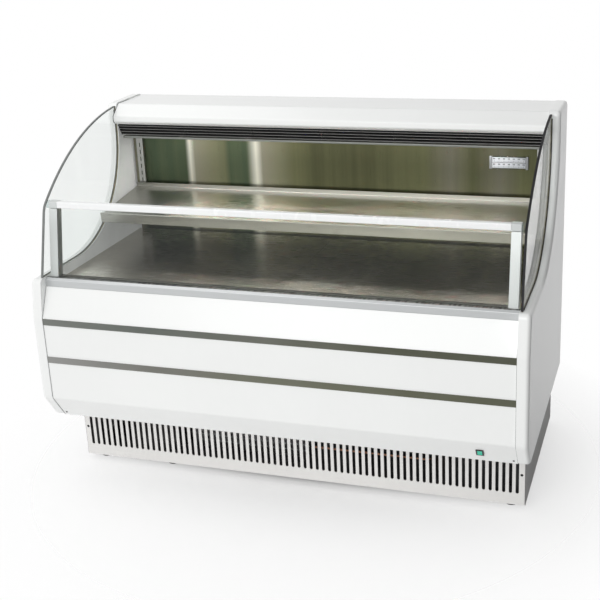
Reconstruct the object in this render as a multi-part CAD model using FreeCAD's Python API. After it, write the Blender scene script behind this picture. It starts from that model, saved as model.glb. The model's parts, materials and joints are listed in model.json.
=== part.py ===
import FreeCAD, Part
import math
import os

# Open-front refrigerated deli case, self-contained, low-profile.
# Millimetres. X runs along the case, -Y is the customer side, +Z is up.
# The origin is under the middle of the case, on the floor.

V = FreeCAD.Vector

# ---- driving dimensions -------------------------------------------------
WIDTH = 1534.0
DEPTH = 800.0
HEIGHT = 1135.0
END_T = 35.0            # thickness of each insulated end panel
BODY_Z = 222.0          # underside of the insulated body
SKIN = 1.5              # painted and stainless sheet
GAP = 0.5               # assembly gap beside the end panels
FOOT_LIFT = 20.0        # clearance under the base
TILT = 10.3             # lean of the front glass and its posts, degrees

END_X = WIDTH / 2
IN_X = END_X - END_T
FRONT_Y = -DEPTH / 2
REAR_Y = DEPTH / 2
REAR_FACE = REAR_Y - 2.0  # outside of the rear panel, set in so that its rivets stay inside
PANEL_X = IN_X - GAP

# front panel
FACE_Y = FRONT_Y + 3
CHAMFER_D = 60.0
CHAMFER_H = 86.0
BAND_Z = 577.0          # where the sloping top band starts
LEDGE_Y = -354.0
LEDGE_Z = 696.0
STRIP_H = 20.5
STRIP_Z = (430.0, 556.5)

# end panel and its glass
LOW_Z = 698.0           # low front part of the end panel
NECK_Y = 206.0          # upright front edge of the high rear part
SWEEP_R = 350.0         # concave sweep between the two
EDGE_R = 12.0
GLASS_T = 5.0
GLASS_X = 738.0
GLASS_SEAT = 8.0

# inside
TUB_FRONT = -352.0
TUB_REAR = 342.0
TUB_FLOOR = 272.0
TUB_TOP = 1088.0
BACK_Y = 300.0
INNER_X = 728.0         # half length of the parts between the end liners
DECK_Z = 668.0
DUCT_Z = 1016.0
CANOPY_Z = 1131.0

# base
KICK_Y = -220.0
KICK_X = 736.0
SKIRT_X = 738.0
FRAME_X = 725.0
VENT_Y = REAR_Y - 3 - SKIN  # inside face of the rear vent panel
SLOTS = 71
SLOT_PITCH = 20.38
SLOT_W = 10.0
SLOT_Z = (58.0, 206.0)


# ---- small helpers ------------------------------------------------------
def box(x, y, z):
    """Box from three (low, high) pairs."""
    return Part.makeBox(x[1] - x[0], y[1] - y[0], z[1] - z[0], V(x[0], y[0], z[0]))


def rod(start, axis, radius, length):
    return Part.makeCylinder(radius, length, V(*start), V(*axis))


def tube(start, axis, radius, bore, length):
    return rod(start, axis, radius, length).cut(rod(start, axis, bore, length))


def joined(shapes):
    whole = shapes[0]
    if len(shapes) > 1:
        whole = whole.multiFuse(shapes[1:]).removeSplitter()
    return whole


def group(shapes):
    return Part.makeCompound(shapes)


def mirrored(shape):
    return shape.mirror(V(0, 0, 0), V(1, 0, 0))


def outline(corners, closed=True):
    """Edges through (y, z, radius) corners, each corner rounded by its radius."""
    count = len(corners)
    runs = []
    for i, corner in enumerate(corners):
        here = V(0, corner[0], corner[1])
        radius = corner[2] if len(corner) > 2 else 0
        inner = closed or 0 < i < count - 1
        if radius > 0 and inner:
            back = V(0, *corners[i - 1][:2]).sub(here).normalize()
            ahead = V(0, *corners[(i + 1) % count][:2]).sub(here).normalize()
            half = back.getAngle(ahead) / 2
            reach = radius / math.tan(half)
            middle = V(back).add(ahead).normalize() * (radius / math.sin(half) - radius)
            runs.append((here + back * reach, here + middle, here + ahead * reach))
        else:
            runs.append((here,))
    edges = []
    for i, run in enumerate(runs):
        if len(run) == 3:
            edges.append(Part.Arc(*run).toShape())
        if closed or i < count - 1:
            target = runs[(i + 1) % count][0]
            if run[-1].distanceToPoint(target) > 1e-6:
                edges.append(Part.LineSegment(run[-1], target).toShape())
    return edges


def shifted(corners, offset, closed=False):
    """The same corners moved to the left of the direction of travel by offset."""
    count = len(corners)
    spans = count if closed else count - 1
    lines = []
    for i in range(spans):
        a = V(0, *corners[i][:2])
        b = V(0, *corners[(i + 1) % count][:2])
        way = b.sub(a).normalize()
        side = V(0, -way.z, way.y) * offset
        lines.append((a + side, way))
    result = []
    for i, corner in enumerate(corners):
        radius = corner[2] if len(corner) > 2 else 0
        if not closed and i == 0:
            point = lines[0][0]
        elif not closed and i == count - 1:
            last = V(0, *corners[-1][:2]).sub(V(0, *corners[-2][:2]))
            point = lines[-1][0] + last
        else:
            p, u = lines[i - 1]
            q, w = lines[i % spans]
            turn = u.y * w.z - u.z * w.y
            reach = ((q.y - p.y) * w.z - (q.z - p.z) * w.y) / turn
            point = p + u * reach
            if radius > 0:
                radius = max(radius - offset if turn > 0 else radius + offset, 0.05)
        result.append((point.y, point.z, radius))
    return result


def prism(corners, x0, x1):
    """Closed (y, z, radius) outline drawn out from x0 to x1."""
    wire = Part.Wire(outline(corners))
    face = Part.Face(wire)
    return face.translated(V(x0, 0, 0)).extrude(V(x1 - x0, 0, 0))


def folded(path, near, far, x0, x1):
    """Folded sheet: the band between two offsets of an open path, drawn along X."""
    first = shifted(path, near)
    second = shifted(path, far)
    second.reverse()
    wire = Part.Wire(outline(first, False) +
                     [Part.LineSegment(V(0, *first[-1][:2]), V(0, *second[0][:2])).toShape()] +
                     outline(second, False) +
                     [Part.LineSegment(V(0, *second[-1][:2]), V(0, *first[0][:2])).toShape()])
    return Part.Face(wire).translated(V(x0, 0, 0)).extrude(V(x1 - x0, 0, 0))


def slot_cut(x, width, z, y):
    """Upright slot with round ends, cut along Y."""
    radius = width / 2
    depth = y[1] - y[0]
    middle = box((x - radius, x + radius), y, (z[0] + radius, z[1] - radius))
    ends = [rod((x, y[0], end), (0, 1, 0), radius, depth) for end in (z[0] + radius, z[1] - radius)]
    return joined([middle] + ends)


def leaned(shape, y, z, angle):
    """Turn about an X axis through (y, z); a positive angle leans the top to the rear."""
    turned = shape.copy()
    turned.rotate(V(0, y, z), V(1, 0, 0), -angle)
    return turned


# ---- feet and base ------------------------------------------------------
FOOT_R = 21.0
PAD_H = 6.0
COLLAR_R = 9.0
STEM_R = 6.0
STEM_L = 44.0
FOOT_ROWS = (-172.0, 352.0)
FOOT_COLUMNS = (-690.0, -442.0, 690.0)
FRAME_Y = (KICK_Y + 24, REAR_Y - 8)
FRAME_Z = (FOOT_LIFT, FOOT_LIFT + 25)
BOSS_R = 14.0
HEM_BACK = 19.0         # skirt hem behind the kick grille's face
TRAY_Z = FRAME_Z[0] + 8 # top of the floor trays
RAIL_W = 30.0


def foot(x, y):
    pad = Part.makeCone(FOOT_R, FOOT_R - 3, PAD_H, V(x, y, 0))
    collar = rod((x, y, PAD_H), (0, 0, 1), COLLAR_R, PAD_H)
    stem = rod((x, y, 2 * PAD_H), (0, 0, 1), STEM_R, STEM_L)
    return joined([pad, collar, stem])


def base_frame():
    """Welded tube frame with corner posts and a threaded boss over each foot."""
    x = FRAME_X
    y0, y1 = FRAME_Y
    rails = [
        box((-x, x), (y0, y0 + RAIL_W), FRAME_Z),
        box((-x, x), (y1 - RAIL_W, y1), FRAME_Z),
    ]
    for column in (-x, FOOT_COLUMNS[1] - RAIL_W / 2, x - RAIL_W):
        rails.append(box((column, column + RAIL_W), (y0, y1), FRAME_Z))
    for side in (-x, x - RAIL_W):
        for row in (y0, y1 - RAIL_W):
            rails.append(box((side, side + RAIL_W), (row, row + RAIL_W), (FRAME_Z[0], BODY_Z)))
    for px in FOOT_COLUMNS:
        for py in FOOT_ROWS:
            rails.append(rod((px, py, FRAME_Z[0]), (0, 0, 1), BOSS_R, 40))
    frame = joined(rails)
    for px in FOOT_COLUMNS:
        for py in FOOT_ROWS:
            frame = frame.cut(rod((px, py, 0), (0, 0, 1), STEM_R + 0.05, 80))
    return frame


def base_floor():
    """Trays between the frame's rails, under the pan and the condensing unit."""
    side = FRAME_X - RAIL_W
    middle = FOOT_COLUMNS[1]
    y = (FRAME_Y[0] + RAIL_W + GAP, FRAME_Y[1] - RAIL_W - GAP)
    bays = ((-side, middle - RAIL_W / 2), (middle + RAIL_W / 2, side))
    trays = [box((x0 + GAP, x1 - GAP), y, (TRAY_Z - 2, TRAY_Z)) for x0, x1 in bays]
    bosses = [rod((px, py, 0), (0, 0, 1), BOSS_R + 1, 80) for px in FOOT_COLUMNS for py in FOOT_ROWS]
    return group([tray.cut(bosses) for tray in trays])


def base_skirt():
    """Side skirt with a hem that turns in behind the kick grille's end."""
    z = (FOOT_LIFT, BODY_Z - GAP)
    side = box((SKIRT_X - SKIN, SKIRT_X), (KICK_Y + 2, REAR_Y - 3), z)
    hem = box((SKIRT_X - 14, SKIRT_X - SKIN), (KICK_Y + HEM_BACK, KICK_Y + HEM_BACK + SKIN), z)
    return joined([side, hem])


def base_skirts():
    return group([base_skirt(), mirrored(base_skirt())])


KICK_TOP = BODY_Z - 3
KICK_FOLD = 16.0
HOLE_Z = 122.0
HOLE_X = 726.5
HOLE_R = 4.5


def kick_grille():
    """Slotted front grille with a top flange and folded ends."""
    plate = box((-KICK_X, KICK_X), (KICK_Y, KICK_Y + SKIN), (FOOT_LIFT, KICK_TOP))
    flange = box((-KICK_X, KICK_X), (KICK_Y, KICK_Y + KICK_FOLD), (KICK_TOP - SKIN, KICK_TOP))
    sill = box((-KICK_X, KICK_X), (KICK_Y, KICK_Y + KICK_FOLD), (FOOT_LIFT, FOOT_LIFT + SKIN))
    returns = [box((side, side + SKIN), (KICK_Y, KICK_Y + KICK_FOLD), (FOOT_LIFT, KICK_TOP))
               for side in (-KICK_X, KICK_X - SKIN)]
    grille = joined([plate, flange, sill] + returns)
    cuts = []
    for i in range(SLOTS):
        x = (i - (SLOTS - 1) / 2) * SLOT_PITCH
        cuts.append(slot_cut(x, SLOT_W, SLOT_Z, (KICK_Y - 1, KICK_Y + SKIN + 1)))
    for side in (-HOLE_X, HOLE_X):
        cuts.append(rod((side, KICK_Y - 1, HOLE_Z), (0, 1, 0), HOLE_R, 4))
    return grille.cut(cuts)


def panel_screw(x, y, z, axis, head, shank):
    """Pan-head screw: axis points out of the panel."""
    back = V(*axis) * -10
    body = Part.makeCylinder(shank, 10, V(x, y, z) + back, V(*axis))
    cap = Part.makeCylinder(head, 2.2, V(x, y, z), V(*axis))
    return joined([body, cap])


VENT_BANKS = (-420, 0, 420)
VENT_SLOTS = 9
VENT_PITCH = 22.0
VENT_W = 9.0
VENT_Z = (70.0, 180.0)
CORD_X = 560.0
CORD_Z = 80.0
GLAND_R = 10.9
GLAND_BORE = 5.5


def rear_vent_panel():
    """Lower rear panel with a field of exhaust slots."""
    plate = box((-SKIRT_X + SKIN + GAP, SKIRT_X - SKIN - GAP), (VENT_Y, VENT_Y + SKIN),
                (FOOT_LIFT + 2, BODY_Z - 1))
    cuts = []
    middle = (VENT_SLOTS - 1) / 2
    for bank in VENT_BANKS:
        for i in range(VENT_SLOTS):
            x = bank + (i - middle) * VENT_PITCH
            cuts.append(slot_cut(x, VENT_W, VENT_Z, (VENT_Y - 1, VENT_Y + SKIN + 1)))
    cuts.append(rod((CORD_X, VENT_Y - 1, CORD_Z), (0, 1, 0), GLAND_R + 0.1, 4))
    return plate.cut(cuts)


# ---- condensing unit ----------------------------------------------------
DRAIN = (-560.0, 60.0)
DRAIN_R = 13.0
COMP_X = 150.0
COMP_Y = 150.0
COMP_R = 78.0
COMP_H = 128.0
MOUNTS = [(dx, dy) for dx in (-82, 82) for dy in (-58, 58)]
MOUNT_H = 12.0
FAN_X = -190.0
FAN_Z = 128.0
FAN_Y = 40.0
COND_X = (-390.0, 10.0)
COND_Y = (-120.0, -60.0)
COND_Z = (36.0, 218.0)


def compressor():
    """Hermetic shell with a welded belly seam, base plate and terminal cover."""
    z = TRAY_Z + MOUNT_H
    shell = rod((COMP_X, COMP_Y, z + 3), (0, 0, 1), COMP_R, COMP_H)
    lid = Part.makeSphere(110, V(COMP_X, COMP_Y, z + 131 - 77.5))
    lid = lid.common(box((COMP_X - 80, COMP_X + 80), (COMP_Y - 80, COMP_Y + 80), (z + 120, z + 175)))
    seam = rod((COMP_X, COMP_Y, z + 74), (0, 0, 1), COMP_R + 4, 8)
    plate = box((COMP_X - 95, COMP_X + 95), (COMP_Y - 70, COMP_Y + 70), (z, z + 3))
    cover = box((COMP_X + 70, COMP_X + 108), (COMP_Y - 35, COMP_Y + 35), (z + 20, z + 90))
    body = joined([shell, lid, seam, plate, cover])
    for dx, dy in MOUNTS:
        body = body.cut(rod((COMP_X + dx, COMP_Y + dy, z - 1), (0, 0, 1), 5, 6))
    return body


def compressor_mounts():
    """Rubber grommets that carry the compressor's base plate."""
    return group([tube((COMP_X + dx, COMP_Y + dy, TRAY_Z), (0, 0, 1), 11, 4, MOUNT_H)
                  for dx, dy in MOUNTS])


def fins(x, y, z, count, thickness):
    """Row of upright fins spread evenly from one end of x to the other."""
    pitch = (x[1] - x[0] - thickness) / (count - 1)
    return [box((x[0] + i * pitch, x[0] + i * pitch + thickness), y, z) for i in range(count)]


COIL_TUBE_R = 4.7
COND_ROW = 40.0         # height from one hairpin to the next


def condenser_coil():
    """Fin pack on its tubes between two tube sheets, with the return bends outside."""
    pack = fins((COND_X[0] + 14, COND_X[1] - 14), COND_Y, (COND_Z[0] + 4, COND_Z[1] - 4), 36, 3)
    sheets = [box((x, x + 2), (COND_Y[0] - 4, COND_Y[1] + 4), COND_Z) for x in (COND_X[0] + 6, COND_X[1] - 8)]
    feet = [box((x, x + 2), (COND_Y[0] - 4, COND_Y[1] + 4), (TRAY_Z, COND_Z[0] + 4))
            for x in (COND_X[0] + 6, COND_X[1] - 8)]
    tubes = []
    for i in range(4):
        z = COND_Z[0] + 22 + i * COND_ROW
        for y in (COND_Y[0] + 15, COND_Y[1] - 15):
            for height in (z, z + COND_ROW / 2):
                length = COND_X[1] - COND_X[0] + 8
                tubes.append(rod((COND_X[0] - 4, y, height), (1, 0, 0), COIL_TUBE_R, length))
            for x in (COND_X[0] - 4, COND_X[1] - 2):
                tubes.append(box((x, x + 6), (y - COIL_TUBE_R, y + COIL_TUBE_R), (z, z + COND_ROW / 2)))
    return joined(pack + sheets + feet + tubes)


def condenser_shroud():
    """Sheet box behind the coil with the fan ring and the motor's cross bar."""
    y = COND_Y[1] + 5
    outer = box((FAN_X - 110, FAN_X + 110), (y, y + 70), (TRAY_Z, 216))
    inner = box((FAN_X - 108.5, FAN_X + 108.5), (y - 1, y + 68.5), (TRAY_Z + 1.5, 214.5))
    shroud = outer.cut(inner)
    shroud = shroud.cut(rod((FAN_X, y + 60, FAN_Z), (0, 1, 0), 82, 20))
    ring = tube((FAN_X, y + 70, FAN_Z), (0, 1, 0), 84, 82, 22)
    bar = box((FAN_X - 12, FAN_X + 12), (y + 92, y + 95), (TRAY_Z, 216))
    stays = [box((FAN_X - 12, FAN_X + 12), (y + 69, y + 95), (z, z + 2)) for z in (TRAY_Z, 214)]
    bar = bar.cut(rod((FAN_X, y + 80, FAN_Z), (0, 1, 0), 9, 30))
    return joined([shroud, ring, bar] + stays)


def fan_motor(x, y, z, radius, length, shaft):
    """Shaded-pole motor behind the blade; its shaft points to -Y."""
    can = rod((x, y, z), (0, 1, 0), radius, length)
    nose = rod((x, y - 4, z), (0, 1, 0), 8, 4)
    axle = rod((x, y - shaft, z), (0, 1, 0), 3, shaft)
    return joined([can, nose, axle])


def fan_blade(x, y, z, radius, depth, blades):
    """Axial fan with a bored hub; the blades are pitched plates."""
    hub = rod((x, y, z), (0, 1, 0), radius * 0.24, depth)
    plates = []
    for i in range(blades):
        width = radius * 0.62
        plate = box((x + radius * 0.18, x + radius), (y + depth / 2 - 0.8, y + depth / 2 + 0.8),
                    (z - width / 2, z + width / 2))
        plate.rotate(V(x, y + depth / 2, z), V(1, 0, 0), 24)
        plate.rotate(V(x, y, z), V(0, 1, 0), i * 360 / blades)
        plates.append(plate)
    disc = rod((x, y - 40, z), (0, 1, 0), radius, depth + 80)
    fan = joined([hub] + plates).common(disc)
    return fan.cut(rod((x, y - 1, z), (0, 1, 0), 3.05, depth + 2))


SHROUD_Y = COND_Y[1] + 5
PIPE_HOLES = ((420.0, 200.0, 4.4), (380.0, 250.0, 6.9))     # x, y and hole radius


def condenser_motor():
    return fan_motor(FAN_X, SHROUD_Y + 95.2, FAN_Z, 34, 55, 34)


def condenser_fan():
    return fan_blade(FAN_X, SHROUD_Y + 62, FAN_Z, 78, 18, 5)


def bent_pipe(points, radius, bend):
    """Round pipe along straight runs joined by tangent arcs."""
    places = [V(*p) for p in points]
    runs = [(places[0],)]
    for i in range(1, len(places) - 1):
        here = places[i]
        back = places[i - 1].sub(here).normalize()
        ahead = places[i + 1].sub(here).normalize()
        half = back.getAngle(ahead) / 2
        reach = bend / math.tan(half)
        middle = V(back).add(ahead).normalize() * (bend / math.sin(half) - bend)
        runs.append((here + back * reach, here + middle, here + ahead * reach))
    runs.append((places[-1],))
    edges = []
    for i, run in enumerate(runs):
        if len(run) == 3:
            edges.append(Part.Arc(*run).toShape())
        if i < len(runs) - 1:
            edges.append(Part.LineSegment(run[-1], runs[i + 1][0]).toShape())
    start = places[1].sub(places[0])
    ring = Part.Wire(Part.Circle(places[0], start, radius).toShape())
    return Part.Wire(edges).makePipeShell([ring], True, True)


def refrigerant_pipes():
    """Discharge, liquid and suction lines with the filter drier in the liquid line."""
    top = TRAY_Z + MOUNT_H + COMP_H - 8
    low = 60
    discharge = bent_pipe([(COMP_X - 76, COMP_Y, top), (COMP_X - 120, COMP_Y, top),
                           (COMP_X - 120, -100, top), (COND_X[1] + 9, -100, top)], 4, 16)
    liquid = bent_pipe([(COND_X[1] + 9, -78, low), (420, -78, low), (420, 40, low)], 4, 16)
    drier = rod((420, 40, low), (0, 1, 0), 16, 90)
    (liquid_x, liquid_y), (suction_x, suction_y) = PIPE_HOLES[0][:2], PIPE_HOLES[1][:2]
    rise = bent_pipe([(420, 130, low), (liquid_x, liquid_y, low), (liquid_x, liquid_y, TUB_FLOOR + 40)], 4, 16)
    suction = bent_pipe([(COMP_X + 76, COMP_Y + 20, top), (suction_x, COMP_Y + 20, top),
                         (suction_x, suction_y, top), (suction_x, suction_y, TUB_FLOOR + 40)], 6.5, 20)
    lines = [discharge.cut(compressor()), joined([liquid, drier, rise]), suction.cut(compressor())]
    return group(lines)


def condensate_pan():
    """Open tray that catches the drain water and boils it off."""
    outer = box((-640, -470), (-90, 200), (TRAY_Z, TRAY_Z + 55))
    inner = box((-638.5, -471.5), (-88.5, 198.5), (TRAY_Z + 1.5, TRAY_Z + 56))
    return outer.cut(inner)


def control_box():
    """Folded box for the relay, capacitor and controller, with its lid's screws."""
    case = box((480, 660), (40, 200), (TRAY_Z, TRAY_Z + 120))
    cavity = box((481.5, 658.5), (41.5, 198.5), (TRAY_Z + 1.5, TRAY_Z + 118.5))
    gland = tube((570, 199.9, TRAY_Z + 60), (0, 1, 0), 10, 6, 8)
    return joined([case.cut(cavity).cut(rod((570, 190, TRAY_Z + 60), (0, 1, 0), 6, 20)), gland])


def cord_gland():
    """Screwed gland for the mains lead, clamped through the rear vent panel."""
    body = rod((CORD_X, VENT_Y - 8, CORD_Z), (0, 1, 0), GLAND_R, 12)
    head = rod((CORD_X, VENT_Y + SKIN, CORD_Z), (0, 1, 0), GLAND_R + 4, 3)
    nut = rod((CORD_X, VENT_Y - 6, CORD_Z), (0, 1, 0), GLAND_R + 5, 6)
    gland = joined([body, head, nut])
    return gland.cut(rod((CORD_X, VENT_Y - 10, CORD_Z), (0, 1, 0), GLAND_BORE, 20))


# ---- insulated body -----------------------------------------------------
def front_path():
    """Front panel from its bottom flange up to the ledge, outer face."""
    return [(-300, BODY_Z),
            (FACE_Y + CHAMFER_D, BODY_Z, 6),
            (FACE_Y, BODY_Z + CHAMFER_H, 14),
            (FACE_Y, BAND_Z, 8),
            (LEDGE_Y - 1, LEDGE_Z - 27)]


SWITCH_X = 626.0
CORNER_X = 720.0        # screws near the panel's lower corners
CORNER_DROP = 32.0
SWITCH_SIZE = (9.0, 13.0)   # half width and half height of the switch body
TRUNNION_R = 1.0


def chamfer_frame():
    """Angle of the chamfer and a point in the middle of it."""
    angle = math.degrees(math.atan2(CHAMFER_D, CHAMFER_H))
    return angle, FACE_Y + CHAMFER_D * 0.52, BODY_Z + CHAMFER_H * 0.48


def front_panel():
    panel = folded(front_path(), 0, -SKIN, -PANEL_X, PANEL_X)
    angle, y, z = chamfer_frame()
    half_w, half_h = SWITCH_SIZE[0] + 0.4, SWITCH_SIZE[1] + 0.4
    window = box((SWITCH_X - half_w, SWITCH_X + half_w), (y - 10, y + 10), (z - half_h, z + half_h))
    window = leaned(window, y, z, -angle)
    panel = panel.cut(window)
    for side in (-CORNER_X, CORNER_X):
        hole = leaned(rod((side, y - 12, z - CORNER_DROP), (0, 1, 0), 2.2, 24), y, z, -angle)
        panel = panel.cut(hole)
    return panel


def panel_screws():
    """Pan-head screws of the kick grille and of the front panel's lower corners."""
    angle, y, z = chamfer_frame()
    screws = []
    for side in (-1, 1):
        screws.append(panel_screw(side * HOLE_X, KICK_Y + SKIN + 0.2, HOLE_Z, (0, -1, 0), HOLE_R - 0.4, 2))
        corner = panel_screw(side * CORNER_X, y - 0.6, z - CORNER_DROP, (0, -1, 0), 4, 2)
        screws.append(leaned(corner, y, z, -angle))
    return group(screws)


def trim_strips():
    return group([box((-PANEL_X, PANEL_X), (FACE_Y - 2, FACE_Y), (z, z + STRIP_H)) for z in STRIP_Z])


def switch_housing():
    """Snap-in rocker switch body with its bezel, square to the chamfer."""
    angle, y, z = chamfer_frame()
    half_w, half_h = SWITCH_SIZE

    def block(grow, y0, y1):
        return box((SWITCH_X - half_w - grow, SWITCH_X + half_w + grow), (y0, y1),
                   (z - half_h - grow, z + half_h + grow))

    bezel = block(2, y - 3.4, y - 1.4)
    body = block(0, y - 1.4, y + 13)
    well = block(-1.6, y - 5, y + 8)
    pins = [box((SWITCH_X - 3, SWITCH_X + 3), (y + 13, y + 19), (z + dz - 0.5, z + dz + 0.5)) for dz in (-7, 7)]
    bores = rod((SWITCH_X - 8.2, y + 1.5, z), (1, 0, 0), TRUNNION_R + 0.05, 16.4)
    return leaned(joined([bezel, body] + pins).cut([well, bores]), y, z, -angle)


def switch_pocket():
    """Recess in the foam behind the switch and the corner screws."""
    angle, y, z = chamfer_frame()
    recess = box((SWITCH_X - 14, SWITCH_X + 14), (y - 10, y + 20), (z - 18, z + 18))
    holes = [rod((x, y - 10, z - CORNER_DROP), (0, 1, 0), 3, 22) for x in (-CORNER_X, CORNER_X)]
    return leaned(group([recess] + holes), y, z, -angle)


def switch_rocker():
    """Lit rocker on its cross pin, pressed in at the lower end."""
    angle, y, z = chamfer_frame()
    core = rod((SWITCH_X - 6.8, y + 1.5, z), (1, 0, 0), 3, 13.6)
    wing = box((SWITCH_X - 6.8, SWITCH_X + 6.8), (y - 3.5, y + 1.5), (z - 9.6, z + 9.6))
    trunnions = rod((SWITCH_X - 8, y + 1.5, z), (1, 0, 0), TRUNNION_R, 16)
    rocker = joined([core, wing, trunnions])
    rocker.rotate(V(SWITCH_X, y + 1.5, z), V(1, 0, 0), -6)
    return leaned(rocker, y, z, -angle)


def service_holes():
    """Holes through the body's floor for the drain and the refrigerant lines."""
    holes = [rod((*DRAIN, BODY_Z - 10), (0, 0, 1), DRAIN_R + 0.3, 60)]
    for x, y, radius in PIPE_HOLES:
        holes.append(rod((x, y, BODY_Z - 10), (0, 0, 1), radius, 60))
    return holes


def bottom_panel():
    plate = box((-PANEL_X, PANEL_X), (-299, REAR_FACE - SKIN - 0.3), (BODY_Z, BODY_Z + SKIN))
    return plate.cut(service_holes())


def rear_panel():
    return box((-PANEL_X, PANEL_X), (REAR_FACE - SKIN, REAR_FACE), (BODY_Z + GAP, CANOPY_Z))


def tub_path():
    """Stainless liner from the front flange round under the deck to the canopy."""
    return [(-311, DECK_Z), (TUB_FRONT, DECK_Z, 2), (TUB_FRONT, TUB_FLOOR, 18), (TUB_REAR, TUB_FLOOR, 18),
            (TUB_REAR, TUB_TOP, 10), (206, TUB_TOP, 4), (197, TUB_TOP - 14)]


def inner_tub():
    tub = folded(tub_path(), 0, -SKIN, -PANEL_X, PANEL_X)
    return tub.cut(service_holes())


def insulation():
    """Foamed core of the body and of both ends."""
    air = 0.3
    front = FACE_Y + SKIN + air
    bottom = BODY_Z + SKIN + air
    rear = REAR_FACE - SKIN - air
    top = CANOPY_Z - SKIN - air
    low = TUB_FLOOR - SKIN - air
    back = TUB_REAR + SKIN + air
    inside = TUB_FRONT - SKIN - air
    body = prism([(FACE_Y + CHAMFER_D + 3, bottom), (front, BODY_Z + CHAMFER_H + 4), (front, BAND_Z - 3),
                  (LEDGE_Y - 3.5, LEDGE_Z - 40), (inside, LEDGE_Z - 40), (inside, low, 20), (back, low, 20),
                  (back, TUB_TOP + SKIN + air, 12), (225, TUB_TOP + SKIN + air), (225, top),
                  (rear, top), (rear, bottom)], -PANEL_X, PANEL_X)
    body = body.cut(service_holes() + [switch_pocket()])
    core = prism(shifted(end_corners(), 2.2, True), IN_X + 2.1, END_X - 2.4)
    core = core.common(prism(shifted(end_corners(), 10, True), IN_X, END_X))
    core = core.cut(glass_groove())
    return group([body, core, mirrored(core)])


# ---- end panels ---------------------------------------------------------
def end_corners():
    """Side outline, anticlockwise seen from +X with Y to the right."""
    return [(FRONT_Y + CHAMFER_D, BODY_Z, 30), (REAR_Y, BODY_Z, 16), (REAR_Y, HEIGHT, 16),
            (NECK_Y, HEIGHT, 16), (NECK_Y, LOW_Z, SWEEP_R), (FRONT_Y + 19, LOW_Z, 16),
            (FRONT_Y, BAND_Z, 60), (FRONT_Y, BODY_Z + CHAMFER_H, 40)]


def glass_front():
    """Front and top edge of the end glass, from the ledge up to the canopy."""
    return [(-363, LOW_Z - GLASS_SEAT), (-302, 908, 60), (-80, 1103, 820), (NECK_Y - 3, 1125)]


def glass_corners(seat):
    """Whole end glass, with its lower edge let into the end panel by seat."""
    return glass_front() + [(NECK_Y + seat, 1125.3), (NECK_Y + seat, LOW_Z - seat, SWEEP_R + seat)]


def glass_groove():
    half = GLASS_T / 2 + 0.5
    corners = glass_corners(GLASS_SEAT + 0.5)
    return prism([(-366, LOW_Z - GLASS_SEAT - 0.5)] + corners[1:], GLASS_X - half, GLASS_X + half)


def end_panel():
    """Painted outer shell of one end: dished sheet with a rounded outer edge."""
    outer = prism(end_corners(), IN_X, END_X)
    rim = [edge for edge in outer.Edges
           if all(abs(v.X - END_X) < 1e-6 for v in edge.Vertexes)]
    outer = outer.makeFillet(EDGE_R, rim)
    pocket = prism(shifted(end_corners(), 2, True), IN_X - 1, END_X - 2)
    rim = [edge for edge in pocket.Edges
           if all(abs(v.X - (END_X - 2)) < 1e-6 for v in edge.Vertexes)]
    pocket = pocket.makeFillet(EDGE_R - 2, rim)
    return outer.cut(pocket).cut(glass_groove())


def end_liner():
    """Flat inner skin that closes the end panel."""
    return prism(shifted(end_corners(), 2.1, True), IN_X, IN_X + 2).cut(glass_groove())


def end_liners():
    return group([end_liner(), mirrored(end_liner())])


def end_glass():
    return prism(glass_corners(GLASS_SEAT), GLASS_X - GLASS_T / 2, GLASS_X + GLASS_T / 2)


GASKET_T = 1.0
GASKET_LAP = 2.0
BEAD = 2.2


def edge_gasket():
    """Slim black channel pushed over the front and top edge of the end glass."""
    path = [(-363 + 2.4, LOW_Z + 0.6)] + glass_front()[1:]
    half = GLASS_T / 2 + GASKET_T
    band = folded(path, GASKET_T, -GASKET_LAP, GLASS_X - half, GLASS_X + half)
    keep = box((0, END_X), (-500, NECK_Y - 4), (LOW_Z + 0.5, HEIGHT))
    band = band.common(keep)
    return band.cut(end_glass())


def glazing_strip():
    """Thin rubber bead outside the glass along the top of the end panel."""
    path = [(-350, LOW_Z), (NECK_Y, LOW_Z, SWEEP_R), (NECK_Y, 1112)]
    face = GLASS_X + GLASS_T / 2 + 0.05
    return folded(path, BEAD, 0.2, face, face + BEAD)


def glass_gaskets():
    """Edge channels and seating beads of both end glasses."""
    side = [edge_gasket(), glazing_strip()]
    return group(side + [mirrored(piece) for piece in side])


# ---- front ledge, glass and rail ----------------------------------------
POST_W = 27.0
POST_X = (697.0, 724.0)
RAIL_Z = (904.0, 924.5)
GLASS_FOOT = (-326.0, 684.0)
POST_FACE = -9.5        # front face of the posts before they lean, from the glass


def post_notch(x):
    return box((x[0] - 1, x[1] + 2), (-337, -300), (600, 760))


def ledge_cap():
    """Stainless cap with the channel that holds the front glass."""
    path = [(LEDGE_Y, LEDGE_Z - 27), (LEDGE_Y, LEDGE_Z - 6, 2), (LEDGE_Y + 8, LEDGE_Z, 3), (-332, LEDGE_Z, 1.6),
            (-332, LEDGE_Z - 14, 1.6), (-319, LEDGE_Z - 14, 1.6), (-319, LEDGE_Z - 5)]
    cap = folded(path, 0, -1.2, -PANEL_X, PANEL_X)
    for x in (POST_X, (-POST_X[1], -POST_X[0])):
        cap = cap.cut(post_notch((min(x), max(x))))
    return cap


def leaning_box(x, front, depth, z):
    """Upright box in front of the glass plane, leaned with the glass."""
    y, foot_z = GLASS_FOOT
    return leaned(box(x, (y + front, y + front + depth), z), y, foot_z, TILT)


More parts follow.
